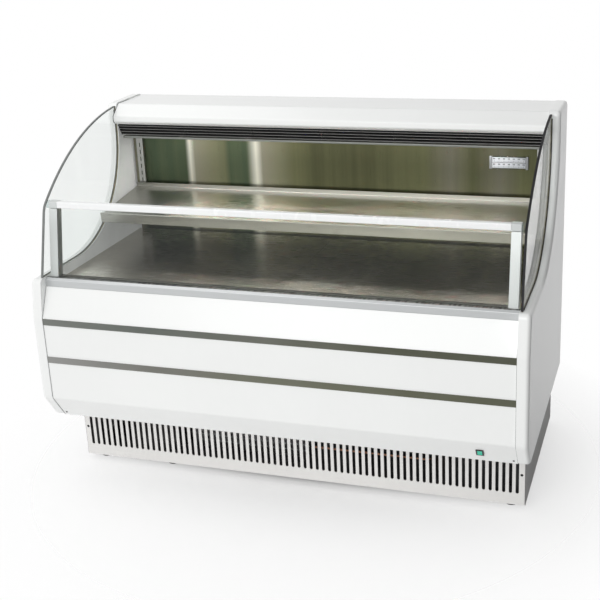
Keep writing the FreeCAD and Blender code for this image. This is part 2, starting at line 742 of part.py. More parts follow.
def glass_post():
    """Square aluminium tube with a closed foot on the tub's flange."""
    post = leaning_box(POST_X, POST_FACE, POST_W, (660, RAIL_Z[0] + 1))
    bore = leaning_box((POST_X[0] + 2, POST_X[1] - 2), POST_FACE + 2, POST_W - 4, (676, 1000))
    post = post.cut(bore)
    post = post.cut(box((600, 760), (-400, -200), (640, DECK_Z + SKIN + 0.1)))
    return post.cut(box((600, 760), (-400, -200), (RAIL_Z[0] - 0.6, 1000)))


def glass_posts():
    return group([glass_post(), mirrored(glass_post())])


def front_glass():
    y, z = GLASS_FOOT
    pane = leaned(box((-POST_X[0] + 0.6, POST_X[0] - 0.6), (y - GLASS_T / 2, y + GLASS_T / 2), (z, 1000)), y, z, TILT)
    return pane.cut(box((-800, 800), (-400, -200), (RAIL_Z[0] + 6, 1100)))


def rail_face():
    """Front of the rail, where the leaning posts reach it."""
    y, z = GLASS_FOOT
    return y + POST_FACE / math.cos(math.radians(TILT)) + (RAIL_Z[0] - z) * math.tan(math.radians(TILT))


def glass_rail():
    """Rounded bar along the top edge of the front glass."""
    face = rail_face()
    bar = prism([(face, RAIL_Z[0], 3), (face + 20, RAIL_Z[0], 3), (face + 20, RAIL_Z[1], 3), (face, RAIL_Z[1], 3)],
                -POST_X[0] + 0.6, POST_X[0] - 0.6)
    return bar.cut(front_glass())


def rail_brackets():
    """Grey end blocks that tie the rail to the posts."""
    face = rail_face()
    block = prism([(face, RAIL_Z[0], 2), (face + POST_W, RAIL_Z[0], 2), (face + POST_W, RAIL_Z[1], 2),
                   (face, RAIL_Z[1], 2)], POST_X[0], POST_X[1])
    return group([block, mirrored(block)])


# ---- deck, grille, shelf ------------------------------------------------
BAFFLE_Y = -272.0
PAN_FRONT = -262.0
PAN_REAR = 286.0
PAN_H = 20.0
SUPPORT_Z = DECK_Z - PAN_H
GRILLE_X = 696.0
GRILLE_Y = (-314.5, -270.0)
GRILLE_TOP = LEDGE_Z + 1.5
GRILLE_SLOTS = 56
GRILLE_PITCH = 24.4
GRILLE_SLOT = 8.0


def return_grille():
    """Lift-out grille: a low slotted riser behind the glass, then a slotted slope to the deck."""
    path = [(GRILLE_Y[0] - 2, DECK_Z + 18), (GRILLE_Y[0], GRILLE_TOP, 2.5), (GRILLE_Y[1], DECK_Z - 2, 3),
            (GRILLE_Y[1], SUPPORT_Z + 0.3)]
    plate = folded(path, 0, -1.2, -GRILLE_X, GRILLE_X)
    cuts = []
    for i in range(GRILLE_SLOTS):
        x = (i - (GRILLE_SLOTS - 1) / 2) * GRILLE_PITCH
        cuts.append(box((x - GRILLE_SLOT / 2, x + GRILLE_SLOT / 2), (GRILLE_Y[0] + 8, GRILLE_Y[1] - 8),
                        (DECK_Z - 2, LEDGE_Z)))
        cuts.append(box((x - GRILLE_SLOT / 2, x + GRILLE_SLOT / 2), (GRILLE_Y[0] - 4, GRILLE_Y[0] + 3),
                        (GRILLE_TOP - 7, GRILLE_TOP - 3)))
    return plate.cut(cuts)


def deck_supports():
    """Front air baffle with a landing flange, rear angle and centre bearer."""
    baffle = folded([(BAFFLE_Y, TUB_FLOOR + 40), (BAFFLE_Y, SUPPORT_Z, 2), (BAFFLE_Y + 40, SUPPORT_Z)],
                    0, -SKIN, -INNER_X, INNER_X)
    angle = folded([(BACK_Y - 30, SUPPORT_Z), (BACK_Y - 1, SUPPORT_Z, 2), (BACK_Y - 1, SUPPORT_Z - 30)],
                   0, -SKIN, -INNER_X, INNER_X)
    bearer = box((-20, 20), (BAFFLE_Y + 41, BACK_Y - 31), (SUPPORT_Z - 25, SUPPORT_Z))
    bearer = bearer.cut(box((-18.5, 18.5), (BAFFLE_Y + 40, BACK_Y - 30), (SUPPORT_Z - 26, SUPPORT_Z - 1.5)))
    return group([baffle, angle, bearer])


def deck_pan(x0, x1):
    """Removable display pan: flat top with turned-down edges."""
    outer = box((x0, x1), (PAN_FRONT, PAN_REAR), (SUPPORT_Z + 0.2, DECK_Z))
    inner = box((x0 + SKIN, x1 - SKIN), (PAN_FRONT + SKIN, PAN_REAR - SKIN), (SUPPORT_Z - 1, DECK_Z - SKIN))
    rims = [edge for edge in outer.Edges if edge.Length > PAN_H + 1 and edge.BoundBox.ZMin > DECK_Z - 1]
    return outer.makeFillet(1.4, rims).cut(inner)


SHELF_Y = (6.0, 283.0)
SHELF_X = 722.0
SHELF_Z = 796.0
SHELF_TILT = 6.1
STANDARD_X = (-700.0, 700.0)


def on_shelf(shape):
    """Tilt a piece about the shelf's front edge, rear end up."""
    turned = shape.copy()
    turned.rotate(V(0, SHELF_Y[0], SHELF_Z), V(1, 0, 0), SHELF_TILT)
    return turned


def upper_shelf():
    """Sheet shelf with a front lip, turned-down front and a rear upstand."""
    y0, y1 = SHELF_Y
    z = SHELF_Z
    path = [(y0 + 12, z - 26), (y0, z - 26, 2), (y0, z + 8, 2), (y0 + 5, z + 8, 2), (y0 + 5, z, 2),
            (y1, z, 2), (y1, z + 14)]
    sheet = folded(path, 0, -SKIN, -SHELF_X, SHELF_X)
    ribs = [folded([(y, z - SKIN), (y, z - 18, 2), (y + 36, z - 18, 2), (y + 36, z - SKIN)], 0, SKIN,
                   -SHELF_X + 40, SHELF_X - 40) for y in (70, 180)]
    return on_shelf(joined([sheet] + ribs))


def shelf_bracket(x):
    """Tapered plate with hooks into the slotted standard."""
    y0, y1 = SHELF_Y
    z = SHELF_Z - SKIN - 0.4
    plate = prism([(y0 + 24, z - 14, 4), (y1 - 6, z - 62, 4), (y1 - 6, z), (y0 + 24, z)], x - 1.25, x + 1.25)
    return on_shelf(plate)


def shelf_brackets():
    """Left and right brackets, outside the shelf's stiffening ribs."""
    return group([shelf_bracket(x) for x in STANDARD_X])


def shelf_standard(x):
    """Slotted upright channel on the back panel."""
    y0 = BACK_Y - 12
    z = (700, 1000)
    channel = box((x - 12, x + 12), (y0, BACK_Y - 0.3), z)
    channel = channel.cut(box((x - 10.5, x + 10.5), (y0 + 1.5, BACK_Y + 1), (z[0] - 1, z[1] + 1)))
    cuts = [box((x - 2, x + 2), (y0 - 1, y0 + 3), (z[0] + 15 + i * 25, z[0] + 30 + i * 25)) for i in range(11)]
    return channel.cut(cuts)


def shelf_standards():
    return group([shelf_standard(x) for x in STANDARD_X])


# ---- air path -----------------------------------------------------------
def back_duct_panel():
    """Stainless back wall that turns forward under the canopy."""
    path = [(BACK_Y, TUB_FLOOR + 30), (BACK_Y, DUCT_Z, 12), (230, DUCT_Z)]
    return folded(path, 0, -SKIN, -INNER_X, INNER_X)


LOUVRE_TOP = (196.0, 1063.0)
LOUVRE_STEP = (7.0, 11.0)
BLADES = 4
BLADE_D = 26.0
BLADE_T = 1.6
LOUVRE_X = 727.0


def air_louvre():
    """Black stepped louvre below the canopy lip, with end plates and dividers."""
    y0, z0 = LOUVRE_TOP
    dy, dz = LOUVRE_STEP
    parts = []
    for i in range(BLADES):
        y = y0 + i * dy
        z = z0 - i * dz
        parts.append(box((-LOUVRE_X, LOUVRE_X), (y, y + BLADE_D), (z - BLADE_T, z)))
        parts.append(box((-LOUVRE_X, LOUVRE_X), (y, y + BLADE_T), (z - 4.5, z)))
    last_y = y0 + (BLADES - 1) * dy
    last_z = z0 - (BLADES - 1) * dz
    profile = [(y0 + 1, z0), (last_y + 1, last_z - 6), (last_y + BLADE_D, last_z - 6), (y0 + BLADE_D, z0)]
    for x in (-LOUVRE_X, -484, -242, 0, 242, 484, LOUVRE_X - 2):
        parts.append(prism(profile, x, x + 2))
    return joined(parts)


def hood_path():
    """Canopy hood from the rear over the top and down to the rolled lip."""
    return [(REAR_FACE - SKIN - 0.1, CANOPY_Z), (222, CANOPY_Z, 9), (178, 1096, 8), (176, 1077, 7), (189, 1067)]


def canopy_hood():
    return folded(hood_path(), 0, SKIN, -PANEL_X, PANEL_X)


LAMP_X = 600.0
LAMP_Y = (238.0, 266.0)


def lamp_channel():
    """Aluminium carrier for the strip lamp under the discharge duct."""
    top = DUCT_Z - SKIN - 0.1
    body = box((-LAMP_X, LAMP_X), LAMP_Y, (top - 5.4, top))
    return body.cut(box((2 - LAMP_X, LAMP_X - 2), (LAMP_Y[0] + 2, LAMP_Y[1] - 2), (top - 6, top - 1.3)))


def lamp_lens():
    top = DUCT_Z - SKIN - 1.8
    return box((2.5 - LAMP_X, LAMP_X - 2.5), (LAMP_Y[0] + 2.5, LAMP_Y[1] - 2.5), (top - 3.6, top))


def evaporator_coil():
    """Finned coil between tube sheets, standing on the tub floor."""
    y = (60.0, 190.0)
    z = (TUB_FLOOR + 12, TUB_FLOOR + 150)
    pack = fins((-515, 515), y, z, 48, 3)
    sheets = [box((x, x + 2), (y[0] - 5, y[1] + 5), (TUB_FLOOR + 0.2, z[1] + 5)) for x in (-522, 520)]
    tubes = []
    for i in range(3):
        for k in range(3):
            tubes.append(rod((-534, y[0] + 25 + k * 40, z[0] + 25 + i * 42), (1, 0, 0), COIL_TUBE_R, 1068))
    return joined(pack + sheets + tubes)


EVAP_FANS = (-260.0, 260.0)
EVAP_Z = TUB_FLOOR + 95
EVAP_Y = -60.0
EVAP_R = 74.0


def fan_plenum():
    """Upright fan board between the return duct and the coil, with two rings."""
    board = box((-726, 726), (EVAP_Y, EVAP_Y + SKIN), (TUB_FLOOR + 0.3, SUPPORT_Z - 40))
    parts = [board]
    for x in EVAP_FANS:
        parts.append(rod((x, EVAP_Y - 20, EVAP_Z), (0, 1, 0), EVAP_R + 6, 22))
    board = joined(parts)
    for x in EVAP_FANS:
        board = board.cut(rod((x, EVAP_Y - 30, EVAP_Z), (0, 1, 0), EVAP_R + 4, 60))
    bars = []
    for x in EVAP_FANS:
        bar = box((x - 10, x + 10), (EVAP_Y + 20, EVAP_Y + 22), (EVAP_Z - EVAP_R - 10, EVAP_Z + EVAP_R + 10))
        legs = [box((x - 10, x + 10), (EVAP_Y, EVAP_Y + 22), (z, z + 2))
                for z in (EVAP_Z - EVAP_R - 10, EVAP_Z + EVAP_R + 8)]
        bars.append(joined([bar] + legs).cut(rod((x, EVAP_Y, EVAP_Z), (0, 1, 0), 8.5, 40)))
    return joined([board] + bars)


def evaporator_motors():
    return group([fan_motor(x, EVAP_Y + 22.2, EVAP_Z, 26, 42, 34) for x in EVAP_FANS])


def evaporator_fan(x):
    return fan_blade(x, EVAP_Y - 10, EVAP_Z, EVAP_R, 16, 5)


def drain_pipe():
    """Tub drain that drops into the condensate pan."""
    foot_z = TRAY_Z + 30
    pipe = rod((*DRAIN, foot_z), (0, 0, 1), DRAIN_R, TUB_FLOOR + 0.5 - foot_z)
    collar = rod((*DRAIN, TUB_FLOOR + 0.5), (0, 0, 1), DRAIN_R + 8, 1.5)
    return joined([pipe, collar]).cut(rod((*DRAIN, 0), (0, 0, 1), DRAIN_R - 2, 400))


THERMO_X = (536.0, 660.0)
THERMO_Z = (928.0, 970.0)


def strip_thermometer():
    """Thermometer card in a clear holder with two end clips, on the back wall."""
    card = box((THERMO_X[0] + 9, THERMO_X[1] - 9), (BACK_Y - 6, BACK_Y - 4.4), (THERMO_Z[0] + 2, THERMO_Z[1] - 3))
    back = box(THERMO_X, (BACK_Y - 4, BACK_Y - 1.8), THERMO_Z)
    ends = [box((x, x + 8), (BACK_Y - 9, BACK_Y - 4), THERMO_Z) for x in (THERMO_X[0], THERMO_X[1] - 8)]
    return group([joined([back] + ends), card])


# ---- nodes --------------------------------------------------------------
def parts():
    half = 0.6
    nodes = {
        "base_frame": base_frame(),
        "base_floor": base_floor(),
        "base_skirts": base_skirts(),
        "kick_grille": kick_grille(),
        "rear_vent_panel": rear_vent_panel(),
        "compressor": compressor(),
        "compressor_mounts": compressor_mounts(),
        "condenser_coil": condenser_coil(),
        "condenser_shroud": condenser_shroud(),
        "condenser_motor": condenser_motor(),
        "condenser_fan": condenser_fan(),
        "refrigerant_pipes": refrigerant_pipes(),
        "condensate_pan": condensate_pan(),
        "control_box": control_box(),
        "cord_gland": cord_gland(),
        "bottom_panel": bottom_panel(),
        "front_panel": front_panel(),
        "panel_screws": panel_screws(),
        "trim_strips": trim_strips(),
        "switch_housing": switch_housing(),
        "switch_rocker": switch_rocker(),
        "rear_panel": rear_panel(),
        "insulation": insulation(),
        "end_panel_right": end_panel(),
        "end_panel_left": mirrored(end_panel()),
        "end_liners": end_liners(),
        "end_glass_right": end_glass(),
        "end_glass_left": mirrored(end_glass()),
        "glass_gaskets": glass_gaskets(),
        "inner_tub": inner_tub(),
        "ledge_cap": ledge_cap(),
        "glass_posts": glass_posts(),
        "front_glass": front_glass(),
        "glass_rail": glass_rail(),
        "rail_brackets": rail_brackets(),
        "return_grille": return_grille(),
        "deck_supports": deck_supports(),
        "deck_pan_left": deck_pan(-INNER_X, -half),
        "deck_pan_right": deck_pan(half, INNER_X),
        "upper_shelf": upper_shelf(),
        "shelf_brackets": shelf_brackets(),
        "shelf_standards": shelf_standards(),
        "back_duct_panel": back_duct_panel(),
        "air_louvre": air_louvre(),
        "canopy_hood": canopy_hood(),
        "lamp_channel": lamp_channel(),
        "lamp_lens": lamp_lens(),
        "evaporator_coil": evaporator_coil(),
        "fan_plenum": fan_plenum(),
        "evaporator_motors": evaporator_motors(),
        "drain_pipe": drain_pipe(),
        "strip_thermometer": strip_thermometer(),
    }
    for name, x in zip(("left", "right"), EVAP_FANS):
        nodes["evaporator_fan_" + name] = evaporator_fan(x)
    for row, y in zip(("front", "rear"), FOOT_ROWS):
        for column, x in zip(("left", "middle", "right"), FOOT_COLUMNS):
            nodes["foot_" + row + "_" + column] = foot(x, y)
    return nodes


def main():
    os.makedirs("parts", exist_ok=True)
    for name, shape in parts().items():
        shape.exportStep("parts/" + name + ".step")
        print(name, shape.isValid(), len(shape.Solids), round(shape.Volume / 1000, 1))


main()
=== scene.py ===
import json
import math

import bmesh
import bpy
from mathutils import Matrix, Vector

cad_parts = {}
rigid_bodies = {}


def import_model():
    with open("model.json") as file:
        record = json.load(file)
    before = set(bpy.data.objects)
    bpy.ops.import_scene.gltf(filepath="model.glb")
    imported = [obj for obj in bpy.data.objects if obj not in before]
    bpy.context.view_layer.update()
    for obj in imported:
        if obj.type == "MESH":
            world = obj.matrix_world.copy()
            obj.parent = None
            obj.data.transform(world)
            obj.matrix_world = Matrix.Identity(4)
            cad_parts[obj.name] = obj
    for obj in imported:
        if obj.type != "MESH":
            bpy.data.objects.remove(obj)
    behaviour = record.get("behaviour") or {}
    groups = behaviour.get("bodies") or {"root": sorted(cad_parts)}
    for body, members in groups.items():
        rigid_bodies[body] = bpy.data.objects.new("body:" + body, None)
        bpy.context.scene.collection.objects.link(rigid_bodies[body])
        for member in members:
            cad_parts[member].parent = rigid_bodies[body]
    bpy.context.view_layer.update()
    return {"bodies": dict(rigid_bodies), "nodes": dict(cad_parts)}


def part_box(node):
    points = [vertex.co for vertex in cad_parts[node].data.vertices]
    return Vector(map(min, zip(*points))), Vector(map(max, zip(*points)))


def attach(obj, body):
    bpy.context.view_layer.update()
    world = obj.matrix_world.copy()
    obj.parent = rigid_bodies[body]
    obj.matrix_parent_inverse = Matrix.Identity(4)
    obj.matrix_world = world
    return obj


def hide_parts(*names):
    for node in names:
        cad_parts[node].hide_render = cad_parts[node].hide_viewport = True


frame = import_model()

# The visual model of an open-front refrigerated deli case, in the CAD's frame: metres,
# X along the case, -Y the customer side, +Z up. The shape functions take millimetres.

MM = 0.001
CAMERA_AT = Vector((1.1306, -3.2038, 1.8025))
CAMERA_AZIMUTH = 18.18
CAMERA_ELEVATION = 19.01
CAMERA_ROLL = -2.43
CAMERA_LENS = 67.31
CAMERA_SHIFT = (-0.0497, -0.0434)

# The surroundings' strength: at three values of the direction's X, then as a share of that
# overhead, and on a patch behind the case. Each range runs from no effect to full effect.
WORLD_SIDES = ((-1.0, 0.8), (-0.5, 1.31), (0.9, 0.14))
WORLD_ZENITH = 0.7
WORLD_ZENITH_Z = (0.4, 0.9)
WORLD_BACK = 1.35
WORLD_BACK_Y = (0.82, 0.92)
KEY_POWER = 96
TOP_POWER = 6
FLOOR_GLOW = 0.15
LAMP_GLOW = 16.0
FLOOR_FADE = (0.2, 1.2)    # the floor fades into the white backdrop between these radii


# ---- camera, light and floor ----------------------------------------------
def make_camera():
    """A camera that looks along the azimuth and elevation, rolled about its own axis."""
    azimuth = math.radians(CAMERA_AZIMUTH)
    elevation = math.radians(CAMERA_ELEVATION)
    roll = math.radians(CAMERA_ROLL)
    back = Vector((math.sin(azimuth) * math.cos(elevation),
                   -math.cos(azimuth) * math.cos(elevation),
                   math.sin(elevation)))
    right = Vector((math.cos(azimuth), math.sin(azimuth), 0))
    up = back.cross(right)
    turned_right = right * math.cos(roll) + up * math.sin(roll)
    turned_up = up * math.cos(roll) - right * math.sin(roll)
    data = bpy.data.cameras.new("camera")
    data.sensor_width = 36.0
    data.lens = CAMERA_LENS
    data.shift_x, data.shift_y = CAMERA_SHIFT
    data.clip_end = 200.0
    camera = bpy.data.objects.new("camera", data)
    axes = Matrix((turned_right, turned_up, back)).transposed().to_4x4()
    camera.matrix_world = Matrix.Translation(CAMERA_AT) @ axes
    bpy.context.scene.collection.objects.link(camera)
    bpy.context.scene.camera = camera


def softbox(name, place, target, width, height, power):
    """A rectangular area light aimed at a target."""
    data = bpy.data.lights.new(name, "AREA")
    data.shape = "RECTANGLE"
    data.size = width
    data.size_y = height
    data.energy = power
    light = bpy.data.objects.new(name, data)
    light.location = place
    aim = Vector(target) - Vector(place)
    light.rotation_euler = aim.to_track_quat("-Z", "Y").to_euler()
    bpy.context.scene.collection.objects.link(light)


def world_range(nodes, links, value, span, ends):
    """Maps a socket's value from span to ends, clamped."""
    node = nodes.new("ShaderNodeMapRange")
    for socket, number in zip(("From Min", "From Max", "To Min", "To Max"), (*span, *ends)):
        node.inputs[socket].default_value = number
    links.new(value, node.inputs["Value"])
    return node.outputs["Result"]


def make_world():
    """Studio surroundings by direction, with a plain white backdrop for the camera."""
    world = bpy.data.worlds.new("studio")
    world.use_nodes = True
    nodes = world.node_tree.nodes
    links = world.node_tree.links
    nodes.clear()
    coords = nodes.new("ShaderNodeTexCoord")
    split = nodes.new("ShaderNodeSeparateXYZ")
    links.new(coords.outputs["Generated"], split.inputs[0])
    (left, low), (middle, peak), (right, dim) = WORLD_SIDES
    rising = world_range(nodes, links, split.outputs["X"], (left, middle), (low, peak))
    falling = world_range(nodes, links, split.outputs["X"], (middle, right), (peak, dim))
    side = nodes.new("ShaderNodeMath")
    side.operation = "MINIMUM"
    links.new(rising, side.inputs[0])
    links.new(falling, side.inputs[1])
    overhead = world_range(nodes, links, split.outputs["Z"], WORLD_ZENITH_Z, (1.0, WORLD_ZENITH))
    dimmed = nodes.new("ShaderNodeMath")
    dimmed.operation = "MULTIPLY"
    links.new(side.outputs[0], dimmed.inputs[0])
    links.new(overhead, dimmed.inputs[1])
    behind = world_range(nodes, links, split.outputs["Y"], WORLD_BACK_Y, (0.0, 1.0))
    blend = nodes.new("ShaderNodeMix")
    blend.inputs["B"].default_value = WORLD_BACK
    links.new(behind, blend.inputs["Factor"])
    links.new(dimmed.outputs[0], blend.inputs["A"])
    ambient = nodes.new("ShaderNodeBackground")
    links.new(blend.outputs["Result"], ambient.inputs["Strength"])
    backdrop = nodes.new("ShaderNodeBackground")
    backdrop.inputs["Color"].default_value = (1, 1, 1, 1)
    path = nodes.new("ShaderNodeLightPath")
    mix = nodes.new("ShaderNodeMixShader")
    out = nodes.new("ShaderNodeOutputWorld")
    links.new(path.outputs["Is Camera Ray"], mix.inputs[0])
    links.new(ambient.outputs[0], mix.inputs[1])
    links.new(backdrop.outputs[0], mix.inputs[2])
    links.new(mix.outputs[0], out.inputs["Surface"])
    bpy.context.scene.world = world


def make_stage():
    bpy.context.scene.view_settings.view_transform = "Standard"
    make_world()
    softbox("key_softbox", (-0.5, -4.6, 2.5), (0.1, 0, 0.6), width=3.4, height=2.8, power=KEY_POWER)
    softbox("top_softbox", (-0.9, -0.2, 2.3), (-0.4, 0.2, 1.1), width=1.4, height=1.2, power=TOP_POWER)
    bm = bmesh.new()
    bmesh.ops.create_circle(bm, cap_ends=True, segments=96, radius=5)
    floor = new_object("floor", bm, pale_floor())


# ---- materials --------------------------------------------------------------
class Look:
    """A Principled material whose patterns are laid out in the object's own metres."""

    def __init__(self, name, colour, metallic=0.0, roughness=0.5, **sockets):
        self.material = bpy.data.materials.new(name)
        self.material.use_nodes = True
        self.nodes = self.material.node_tree.nodes
        self.links = self.material.node_tree.links
        self.shader = self.nodes["Principled BSDF"]
        self.coords = self.nodes.new("ShaderNodeTexCoord").outputs["Object"]
        self.heights = []
        self.shader.inputs["Base Color"].default_value = (*colour, 1)
        self.shader.inputs["Metallic"].default_value = metallic
        self.shader.inputs["Roughness"].default_value = roughness
        for socket, value in sockets.items():
            self.shader.inputs[socket.replace("_", " ")].default_value = value

    def node(self, kind, **inputs):
        """A new node, with each named input linked to a socket or set to a value."""
        node = self.nodes.new(kind)
        for socket, value in inputs.items():
            port = node.inputs[socket.replace("_", " ")]
            if isinstance(value, bpy.types.NodeSocket):
                self.links.new(value, port)
            else:
                port.default_value = value
        return node

    def stretched(self, scales):
        return self.node("ShaderNodeMapping", Vector=self.coords, Scale=scales).outputs[0]

    def noise(self, scale, stretch=(1, 1, 1), *, detail, roughness=0.55, distortion=0.0):
        """Noise from 0 to 1 with scale waves to the metre, times stretch along each axis."""
        place = self.stretched([scale * s for s in stretch])
        node = self.node("ShaderNodeTexNoise", Vector=place, Scale=1.0, Detail=detail,
                         Roughness=roughness, Distortion=distortion)
        return node.outputs["Fac"]

    def cells(self, scale):
        """A random grey for each cell, scale cells to the metre."""
        node = self.node("ShaderNodeTexVoronoi", Vector=self.stretched([scale] * 3), Scale=1.0)
        return self.node("ShaderNodeSeparateColor", Color=node.outputs["Color"]).outputs[0]

    def along(self, axis, low, high):
        """0 at low to 1 at high along one axis, in metres."""
        split = self.node("ShaderNodeSeparateXYZ", Vector=self.coords)
        return self.spread(split.outputs[axis], 0, 1, low, high)

    def spread(self, value, low, high, start=0.0, end=1.0):
        """low where value is start to high where it is end, clamped."""
        node = self.node("ShaderNodeMapRange", Value=value)
        node.inputs["From Min"].default_value = start
        node.inputs["From Max"].default_value = end
        node.inputs["To Min"].default_value = low
        node.inputs["To Max"].default_value = high
        return node.outputs["Result"]

    def sum(self, first, second, share):
        """first plus share of second."""
        node = self.node("ShaderNodeMath")
        node.operation = "MULTIPLY_ADD"
        self.links.new(second, node.inputs[0])
        node.inputs[1].default_value = share
        self.links.new(first, node.inputs[2])
        return node.outputs[0]

    def times(self, first, second):
        node = self.node("ShaderNodeMath")
        node.operation = "MULTIPLY"
        self.links.new(first, node.inputs[0])
        self.links.new(second, node.inputs[1])
        return node.outputs[0]

    def ramp(self, value, stops):
        """Colours at places from 0 to 1: stops is a list of (place, colour)."""
        node = self.node("ShaderNodeValToRGB", Fac=value)
        ramp = node.color_ramp
        while len(ramp.elements) < len(stops):
            ramp.elements.new(0.5)
        for element, (place, colour) in zip(ramp.elements, stops):
            element.position = place
            element.color = (*colour, 1)
        return node.outputs["Color"]

    def blend(self, share, first, second):
        """first where share is 0 and second where it is 1; both are colour sockets or colours."""
        node = self.nodes.new("ShaderNodeMix")
        node.data_type = "RGBA"
        self.links.new(share, node.inputs[0])
        for port, value in ((node.inputs[6], first), (node.inputs[7], second)):
            if isinstance(value, bpy.types.NodeSocket):
                self.links.new(value, port)
            else:
                port.default_value = (*value, 1)
        return node.outputs[2]

    def mix_shaders(self, share, first, second):
        """The surface is the first shader where share is 0 and the second where it is 1."""
        mix = self.nodes.new("ShaderNodeMixShader")
        self.links.new(share, mix.inputs[0])
        self.links.new(first.outputs[0], mix.inputs[1])
        self.links.new(second.outputs[0], mix.inputs[2])
        self.links.new(mix.outputs[0], self.nodes["Material Output"].inputs["Surface"])

    def paint(self, socket):
        self.links.new(socket, self.shader.inputs["Base Color"])

    def gloss(self, socket):
        self.links.new(socket, self.shader.inputs["Roughness"])

    def bump(self, height, depth):
        """Raises the surface by depth metres where height is 1. Calls add up."""
        node = self.node("ShaderNodeBump", Height=height, Strength=1.0, Distance=depth)
        if self.heights:
            self.links.new(self.heights[-1], node.inputs["Normal"])
        self.heights.append(node.outputs["Normal"])
        self.links.new(node.outputs["Normal"], self.shader.inputs["Normal"])


def shade(colour, share):
    return tuple(c * share for c in colour)


def painted(name, colour, roughness, wear, coat=0.0):
    """Sprayed or powder-coated sheet: orange peel, slow tone changes and faint handling marks."""
    look = Look(name, colour, roughness=roughness, Coat_Weight=coat, Coat_Roughness=0.12)
    slow = look.noise(2.2, detail=2.0)
    marks = look.noise(38, (1, 1, 0.35), detail=5.0)
    tone = look.sum(slow, marks, 0.35)
    look.paint(look.ramp(tone, [(0.35, shade(colour, 1 - wear)), (0.95, colour)]))
    look.gloss(look.spread(marks, roughness - 0.05, roughness + 0.09))
    look.bump(look.noise(420, detail=2.0), 0.00005)
    look.bump(look.noise(9, detail=1.0), 0.0004)
    return look.material


def brushed(name, colour, roughness, grain=(1, 60, 60), contrast=0.16, metallic=1.0):
    """Rolled or brushed sheet: fine scratches drawn along one axis over slow blotches."""
    look = Look(name, colour, metallic=metallic, roughness=roughness, Anisotropic=0.45)
    lines = look.noise(14, grain, detail=6.0, roughness=0.7)
    blotch = look.noise(5, detail=3.0)
    tone = look.sum(lines, blotch, 0.6)
    look.paint(look.ramp(tone, [(0.45, shade(colour, 1 - contrast)), (1.1 / 1.2, colour)]))
    look.gloss(look.spread(tone, roughness - 0.09, roughness + 0.12, 0.45, 1.15))
    look.bump(lines, 0.00006)
    return look.material


def galvanised_steel():
    """Zinc coat: crystals of slightly different greys with a soft bloom over them."""
    look = Look("galvanised_spangle", (0.5, 0.51, 0.52), metallic=0.85, roughness=0.42)
    crystal = look.cells(110)
    bloom = look.noise(6, detail=4.0)
    tone = look.sum(crystal, bloom, 0.8)
    look.paint(look.ramp(tone, [(0.1, (0.45, 0.46, 0.48)), (0.9, (0.6, 0.61, 0.62))]))
    look.gloss(look.spread(crystal, 0.3, 0.55))
    look.bump(look.noise(260, detail=2.0), 0.00004)
    return look.material


def moulded(name, colour, roughness, texture=0.00008, painted_glow=0.0):
    """Moulded plastic with a fine spark-eroded texture and slight gloss changes. Emission, where given,
    is painted light: the part gives off light though it is no lamp.
    """
    look = Look(name, colour, roughness=roughness, Emission_Color=(1.0, 1.0, 0.99, 1),
                Emission_Strength=painted_glow)
    grain = look.noise(900, detail=2.0)
    slow = look.noise(12, detail=3.0)
    look.paint(look.ramp(slow, [(0.3, shade(colour, 0.88)), (0.75, colour)]))
    look.gloss(look.spread(slow, roughness - 0.07, roughness + 0.09))
    look.bump(grain, texture)
    return look.material


def rubber(name, colour=(0.012, 0.012, 0.013), bloom=0.018):
    """Matt black rubber or plastic with a dusty bloom."""
    look = Look(name, colour, roughness=0.62, Specular_IOR_Level=0.25)
    dust = look.noise(55, detail=5.0)
    look.paint(look.ramp(dust, [(0.35, colour), (0.85, tuple(c + bloom for c in colour))]))
    look.gloss(look.spread(dust, 0.5, 0.8))
    look.bump(look.noise(700, detail=2.0), 0.00006)
    return look.material


def glazing_seal():
    """Glazing seal: grey on the left pane, as painted shade of the end panel's edge seen through the
    glass; black on the right pane.
    """
    look = Look("glazing_seal", (0.02, 0.02, 0.02), roughness=0.6, Specular_IOR_Level=0.3)
    dust = look.noise(55, detail=5.0)
    # The grey ramp is painted shade: it stands in for the end panel's shaded edge seen through the
    # glass.
    grey = look.ramp(dust, [(0.35, (0.17, 0.18, 0.175)), (0.85, (0.24, 0.25, 0.245))])
    black = look.ramp(dust, [(0.35, (0.012, 0.012, 0.013)), (0.85, (0.028, 0.028, 0.03))])
    look.paint(look.blend(look.along("X", -0.1, 0.1), grey, black))
    look.gloss(look.spread(dust, 0.5, 0.75))
    look.bump(look.noise(700, detail=2.0), 0.00006)
    return look.material


def cast_metal(name, colour, roughness):
    """Cast or plated metal: fine grit over slow tone changes."""
    look = Look(name, colour, metallic=0.9, roughness=roughness)
    grit = look.noise(320, detail=4.0)
    slow = look.noise(14, detail=3.0)
    look.paint(look.ramp(slow, [(0.3, shade(colour, 0.78)), (0.75, colour)]))
    look.gloss(look.spread(grit, roughness - 0.06, roughness + 0.14))
    look.bump(grit, 0.00008)
    return look.material


def copper_tube():
    """Copper with brown stains."""
    look = Look("copper_tube", (0.66, 0.32, 0.2), metallic=1.0, roughness=0.33)
    stain = look.noise(24, detail=5.0)
    look.paint(look.ramp(stain, [(0.3, (0.34, 0.17, 0.12)), (0.6, (0.72, 0.38, 0.26)),
                                 (0.85, (0.8, 0.48, 0.36))]))
    look.gloss(look.spread(stain, 0.24, 0.5))
    look.bump(look.noise(200, detail=2.0), 0.00004)
    return look.material


def foam_core():
    """Yellow urethane foam with a bubbly surface."""
    look = Look("urethane_foam", (0.82, 0.74, 0.52), roughness=0.95)
    bubbles = look.noise(180, detail=5.0)
    look.paint(look.ramp(bubbles, [(0.3, (0.66, 0.57, 0.36)), (0.7, (0.86, 0.79, 0.58))]))
    look.bump(bubbles, 0.0006)
    return look.material


